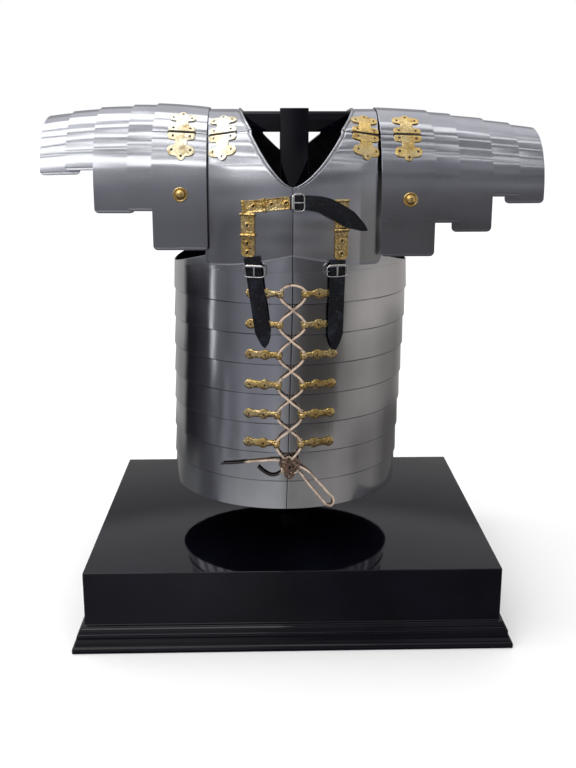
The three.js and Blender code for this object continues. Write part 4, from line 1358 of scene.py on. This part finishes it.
class LORICA_OT_lace(bpy.types.Operator):
    """Lay the lace through the tie loops and tie its bow"""

    bl_idname = "lorica.lace"
    bl_label = "Lace"

    def execute(self, context):
        sizes = context.scene.lorica_lace
        pale = made_of("pale_lace", rolled_lace, sizes.colour[:])
        tail = made_of("lace_tail", rolled_lace, sizes.colour[:], TAIL_WAXED_PAST)
        short = made_of("lace_short_tail", rolled_lace, sizes.colour[:], SHORT_TAIL_WAXED_PAST)
        knot = self.knot(sizes.diameter, pale, made_of("knotted_lace", rolled_lace, sizes.waxed[:]))
        smooth_faces(knot, 60)
        settled(knot, "lace", "lace_bow")
        ways = [
            ("lace_through_eyes", "lace", lace_route(), pale, "knot", "taut"),
            ("lace_bow_loop", "lace_bow", on_waist(BOW_LOOP), pale, "knot", "hanging"),
            ("lace_tail_long", "lace_bow", on_waist(BOW_TAIL), tail, "bare", "loose"),
            ("lace_tail_short", "lace_bow", on_waist(BOW_SHORT_TAIL), short, "bare", "loose"),
        ]
        for name, node, points, material, far_end, lay in ways:
            cord = cord_curve(name, points, sizes.diameter)
            context.view_layer.update()
            settled(coloured(cord, material), "lace", node)
            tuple(points[0])
        return {"FINISHED"}

    @staticmethod
    def knot(diameter, pale, dark):
        """The bow's knot: three trefoils of the lace drawn together, one behind the other."""
        centre = lace_point(0.002, KNOT_LEVEL - 0.003, KNOT_LIFT)
        pieces = []
        for scale, tilt, back, material in zip((0.0044, 0.0036, 0.0030), (0.0, 1.1, 2.3),
                                               (-0.0014, 0.0014, -0.0026), (dark, pale, dark)):
            points = []
            for a in evenly(0, 2 * pi, 72)[:-1]:
                x, z = sin(a) + 2 * sin(2 * a), cos(a) - 2 * cos(2 * a)
                right, up = x * cos(tilt) - z * sin(tilt), x * sin(tilt) + z * cos(tilt)
                points.append(centre + Vector((
                    1.05 * scale * right, back - 0.0016 * sin(3 * a), 1.2 * scale * up)))
            strand = swept("lace_knot", points, [diameter * 0.46] * len(points), closed=True,
                           normal=(0.2, -1, 0.3))
            pieces.append(coloured(strand, material))
        return joined("lace_knot", pieces)


class LORICA_OT_hoops(bpy.types.Operator):
    """Bend the girth hoops round the waist"""

    bl_idname = "lorica.hoops"
    bl_label = "Girth hoops"

    def execute(self, context):
        _, steel, black = plate_materials(context)
        edge = context.scene.lorica_plates.edge
        for k in range(1, HOOPS + 1):
            finished(girth_hoop(k), "steel", f"girth_hoop_{k}", (steel, black), edge)
        return {"FINISHED"}


class LORICA_OT_collar(bpy.types.Operator):
    """Make the breastplates, collar plates and back plates"""

    bl_idname = "lorica.collar"
    bl_label = "Collar"

    def execute(self, context):
        steel, _, black = plate_materials(context)
        sizes = context.scene.lorica_plates
        for name, side in SIDES.items():
            for plate in (
                chest_plate(f"breastplate_{name}_dressed", side, False, sizes.bead),
                chest_plate(f"back_plate_{name}_dressed", side, True, sizes.bead),
                collar_plate(f"collar_plate_{name}_dressed", side, sizes.bead),
            ):
                finished(plate, "steel", plate.name.removesuffix("_dressed"), (steel, black), sizes.edge,
                         break_over=62, smooth_under=40)
        return {"FINISHED"}


class LORICA_OT_guards(bpy.types.Operator):
    """Make the upper guards and the lesser guards of both shoulders"""

    bl_idname = "lorica.guards"
    bl_label = "Shoulder guards"

    def execute(self, context):
        steel, _, black = plate_materials(context)
        sizes = context.scene.lorica_plates
        edge, top = GUARD_HINGE - HINGE_GAP, GUARD_HINGE + HINGE_GAP
        for name in SIDES:
            foot, *feet = (guard_foot(layer, name) for layer in range(len(GUARDS)))
            parts = [
                ("front", "upper_guard_front", 0, foot, edge, (True, False)),
                ("top", "upper_guard_top", 0, top, pi - top, (False, False)),
                ("back", "upper_guard_back", 0, pi - edge, pi - foot, (False, True)),
            ]
            parts += [(layer, f"lesser_guard_{layer}", layer, start, pi - start, (True, True))
                      for layer, start in enumerate(feet, 1)]
            for part, node, layer, start, end, free in parts:
                guard = guard_plate(f"guard_{part}_{name}", name, layer, start, end, free, sizes.groove)
                finished(guard, "steel", f"{node}_{name}", (steel, black), sizes.edge)
        return {"FINISHED"}


class LORICA_OT_hinges(bpy.types.Operator):
    """Rivet on the lobed hinges, front and back, and the bosses"""

    bl_idname = "lorica.hinges"
    bl_label = "Hinges and bosses"

    def execute(self, context):
        sizes = context.scene.lorica_fittings
        warm = fitting_materials(sizes.brass, "hinge_brass", 0.35)
        # Painted highlight: the hinges on the wearer's right get the paler copy of the brass
        metals = {"left": warm, "right": fitting_materials(sizes.paler, "pale_hinge_brass", 0.3)}
        for name, side in SIDES.items():
            kinds = {
                "collar": (collar_point, side["collar_hinge"], partial(collar_hinge_at, side)),
                "guard": (guard_surface, side["guard_hinge"], lambda x: GUARD_HINGE),
            }
            for kind, (surface, middle, hinge_at) in kinds.items():
                surface = partial(surface, side)
                for where, nodes in (("front", [f"{kind}_hinge_{name}"]), ("back", [])):
                    pieces = lobed_hinge(surface, middle, hinge_at, where == "back", sizes.rivet)
                    assembled(f"{kind}_hinge_{where}_{name}", "brass", nodes, pieces, metals[name])
            assembled(f"boss_{name}", "brass", [f"guard_boss_{name}"], [boss(side, sizes.boss)], warm)
        return {"FINISHED"}


class LORICA_OT_ties(bpy.types.Operator):
    """Rivet the tie loops to the hoops"""

    bl_idname = "lorica.ties"
    bl_label = "Tie loops"

    def execute(self, context):
        sizes = context.scene.lorica_fittings
        metals = fitting_materials(sizes.brass)
        for name, side in SIDES.items():
            for k in range(1, TIES + 1):
                pieces = tie_loop(k, side["mirror"], sizes.rivet)
                assembled(f"tie_{k}_{name}", "brass", [f"tie_loop_{k}_{name}"], pieces, metals)
        return {"FINISHED"}


class LORICA_OT_straps(bpy.types.Operator):
    """Make the hinged fittings, leather straps and buckles of the chest"""

    bl_idname = "lorica.straps"
    bl_label = "Straps"

    def execute(self, context):
        for name, row in HANGING_STRAPS.items():
            x, top, foot = row["fitting_x"], row["top"], row["foot"]
            route = straight((row["strap_from"], foot - GAP), (row["strap_to"], row["tip"]), 5, HANGING_HALF)
            self.fastening(context, name, (x, top), (x, foot), HANGING_FITTING, route, HANGING_HOLES,
                           (row["buckle_x"], BUCKLE_LEVEL, 0.028, 0.015, True))
        self.fastening(context, "chest", *CHEST_FITTING, CHEST_FITTING_PARTS, CHEST_STRAP, CHEST_HOLES,
                       (*CHEST_BUCKLE, 0.015, 0.022, False))
        return {"FINISHED"}

    @staticmethod
    def fastening(context, name, start, end, parts, route, holes, frame_of_buckle):
        """A brass fitting from start to end on the chest, the strap on its route, and its buckle."""
        sizes = context.scene.lorica_fittings
        metal, hole = fitting_materials(sizes.brass)
        fitting = hinged_fitting(straight(start, end, 3, 0), *parts)
        assembled(f"fitting_{name}_dressed", "brass", [f"fitting_{name}"], fitting, (metal, hole))
        leather = made_of("strap_leather", black_leather, sizes.leather[:])
        strap = coloured(leather_strap(f"strap_{name}_dressed", route), leather, hole)
        smooth_faces(strap, 40)
        pieces = [strap] + [coloured(punched_hole(route, t), hole) for t in holes]
        settled(joined(f"strap_{name}_dressed", pieces), "leather", f"strap_{name}")
        silver = made_of("tinned_buckle", tinned, sizes.tinned[:])
        ring = buckle(*frame_of_buckle)
        assembled(f"buckle_{name}_dressed", "buckle", [f"buckle_{name}"], ring, [silver], 60)


class LORICA_OT_stand(bpy.types.Operator):
    """Make the stand's moulded base, its post and its crossbar"""

    bl_idname = "lorica.stand"
    bl_label = "Stand"

    # The moulding's section as shares of how far it stands out and of its height: a plinth, a hollow
    # and a bead, then a small step to the side
    SECTION = [
        (1, 0), (1, 0.18), (0.97, 0.215), (0.9, 0.235), (0.84, 0.26), (0.8, 0.31), (0.76, 0.38), (0.7, 0.45),
        (0.63, 0.5), (0.6, 0.54), (0.63, 0.58), (0.64, 0.63), (0.61, 0.68), (0.54, 0.71), (0.5, 0.73),
        (0.47, 0.79), (0.41, 0.86), (0.34, 0.91), (0.28, 0.94), (0.28, 1), (0, 1),
    ]
    MOULDING_OUT = 0.015
    MOULDING_HEIGHT = 0.032

    def execute(self, context):
        sizes = context.scene.lorica_stand
        black = [made_of("black_lacquer", lacquered_wood, sizes.lacquer[:])]
        finished(self.base(), "wood", "stand_base", black, sizes.edge, 3, 60, 38)
        for node in ("stand_post", "stand_crossbar"):
            finished(self.copy_of(node), "wood", node, black, sizes.edge, 3, 30, 38)
        return {"FINISHED"}

    def base(self):
        low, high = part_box("stand_base")
        half = [(high.x - low.x) / 2 - self.MOULDING_OUT, (high.y - low.y) / 2 - self.MOULDING_OUT]
        deselect()
        bpy.ops.mesh.primitive_plane_add(size=2)
        base = bpy.context.object
        base.name = "stand_base_dressed"
        rows = [(out * self.MOULDING_OUT, up * self.MOULDING_HEIGHT) for out, up in self.SECTION]
        rows.append((0, high.z))
        bpy.ops.object.mode_set(mode="EDIT")
        bpy.ops.mesh.select_all(action="SELECT")
        before, level = (1, 1), 0
        for i, (out, z) in enumerate(rows):
            now = (half[0] + out, half[1] + out)
            if i:
                bpy.ops.mesh.extrude_region_move(TRANSFORM_OT_translate={"value": (0, 0, z - level)})
            growth = (now[0] / before[0], now[1] / before[1], 1)
            bpy.ops.transform.resize(value=growth, center_override=(0, 0, 0))
            before, level = now, z
        bpy.ops.object.mode_set(mode="OBJECT")
        face_out(base)
        return base

    @staticmethod
    def copy_of(node):
        """A copy of a node's solid with its corners merged, ready for its edges to be rounded."""
        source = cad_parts[node]
        piece = bpy.data.objects.new(f"{node}_dressed", source.data.copy())
        piece.data.materials.clear()
        bpy.context.scene.collection.objects.link(piece)
        in_edit_mode(piece, lambda: bpy.ops.mesh.remove_doubles(threshold=1e-5),
                     lambda: bpy.ops.mesh.dissolve_limited(angle_limit=radians(1)))
        return piece


class LORICA_PT_panel(bpy.types.Panel):
    """The pieces of the cuirass and its stand"""

    bl_idname = "LORICA_PT_panel"
    bl_label = "Lorica"
    bl_space_type = "VIEW_3D"
    bl_region_type = "UI"
    bl_category = "Lorica"

    def draw(self, context):
        for operator in OPERATORS:
            self.layout.operator(operator.bl_idname)
        for group in GROUPS:
            box = self.layout.box()
            sizes = getattr(context.scene, group)
            for name in sizes.bl_rna.properties.keys():
                if name not in ("rna_type", "name"):
                    box.prop(sizes, name)


GROUPS = {
    "lorica_plates": PlateSizes,
    "lorica_fittings": FittingSizes,
    "lorica_lace": LaceSizes,
    "lorica_stand": StandSizes,
    "lorica_stage": StageSizes,
}
OPERATORS = [
    LORICA_OT_stage,
    LORICA_OT_lace,
    LORICA_OT_hoops,
    LORICA_OT_collar,
    LORICA_OT_guards,
    LORICA_OT_hinges,
    LORICA_OT_ties,
    LORICA_OT_straps,
    LORICA_OT_stand,
]


def register():
    for name, group in GROUPS.items():
        bpy.utils.register_class(group)
        setattr(bpy.types.Scene, name, bpy.props.PointerProperty(type=group))
    for made in (*OPERATORS, LORICA_PT_panel):
        bpy.utils.register_class(made)


def unregister():
    for made in (LORICA_PT_panel, *reversed(OPERATORS)):
        bpy.utils.unregister_class(made)
    for name, group in reversed(GROUPS.items()):
        delattr(bpy.types.Scene, name)
        bpy.utils.unregister_class(group)


def main():
    register()
    bpy.ops.lorica.stage()
    bpy.ops.lorica.lace()
    bpy.ops.lorica.hoops()
    bpy.ops.lorica.collar()
    bpy.ops.lorica.guards()
    bpy.ops.lorica.hinges()
    bpy.ops.lorica.ties()
    bpy.ops.lorica.straps()
    bpy.ops.lorica.stand()


if __name__ == "__main__":
    main()
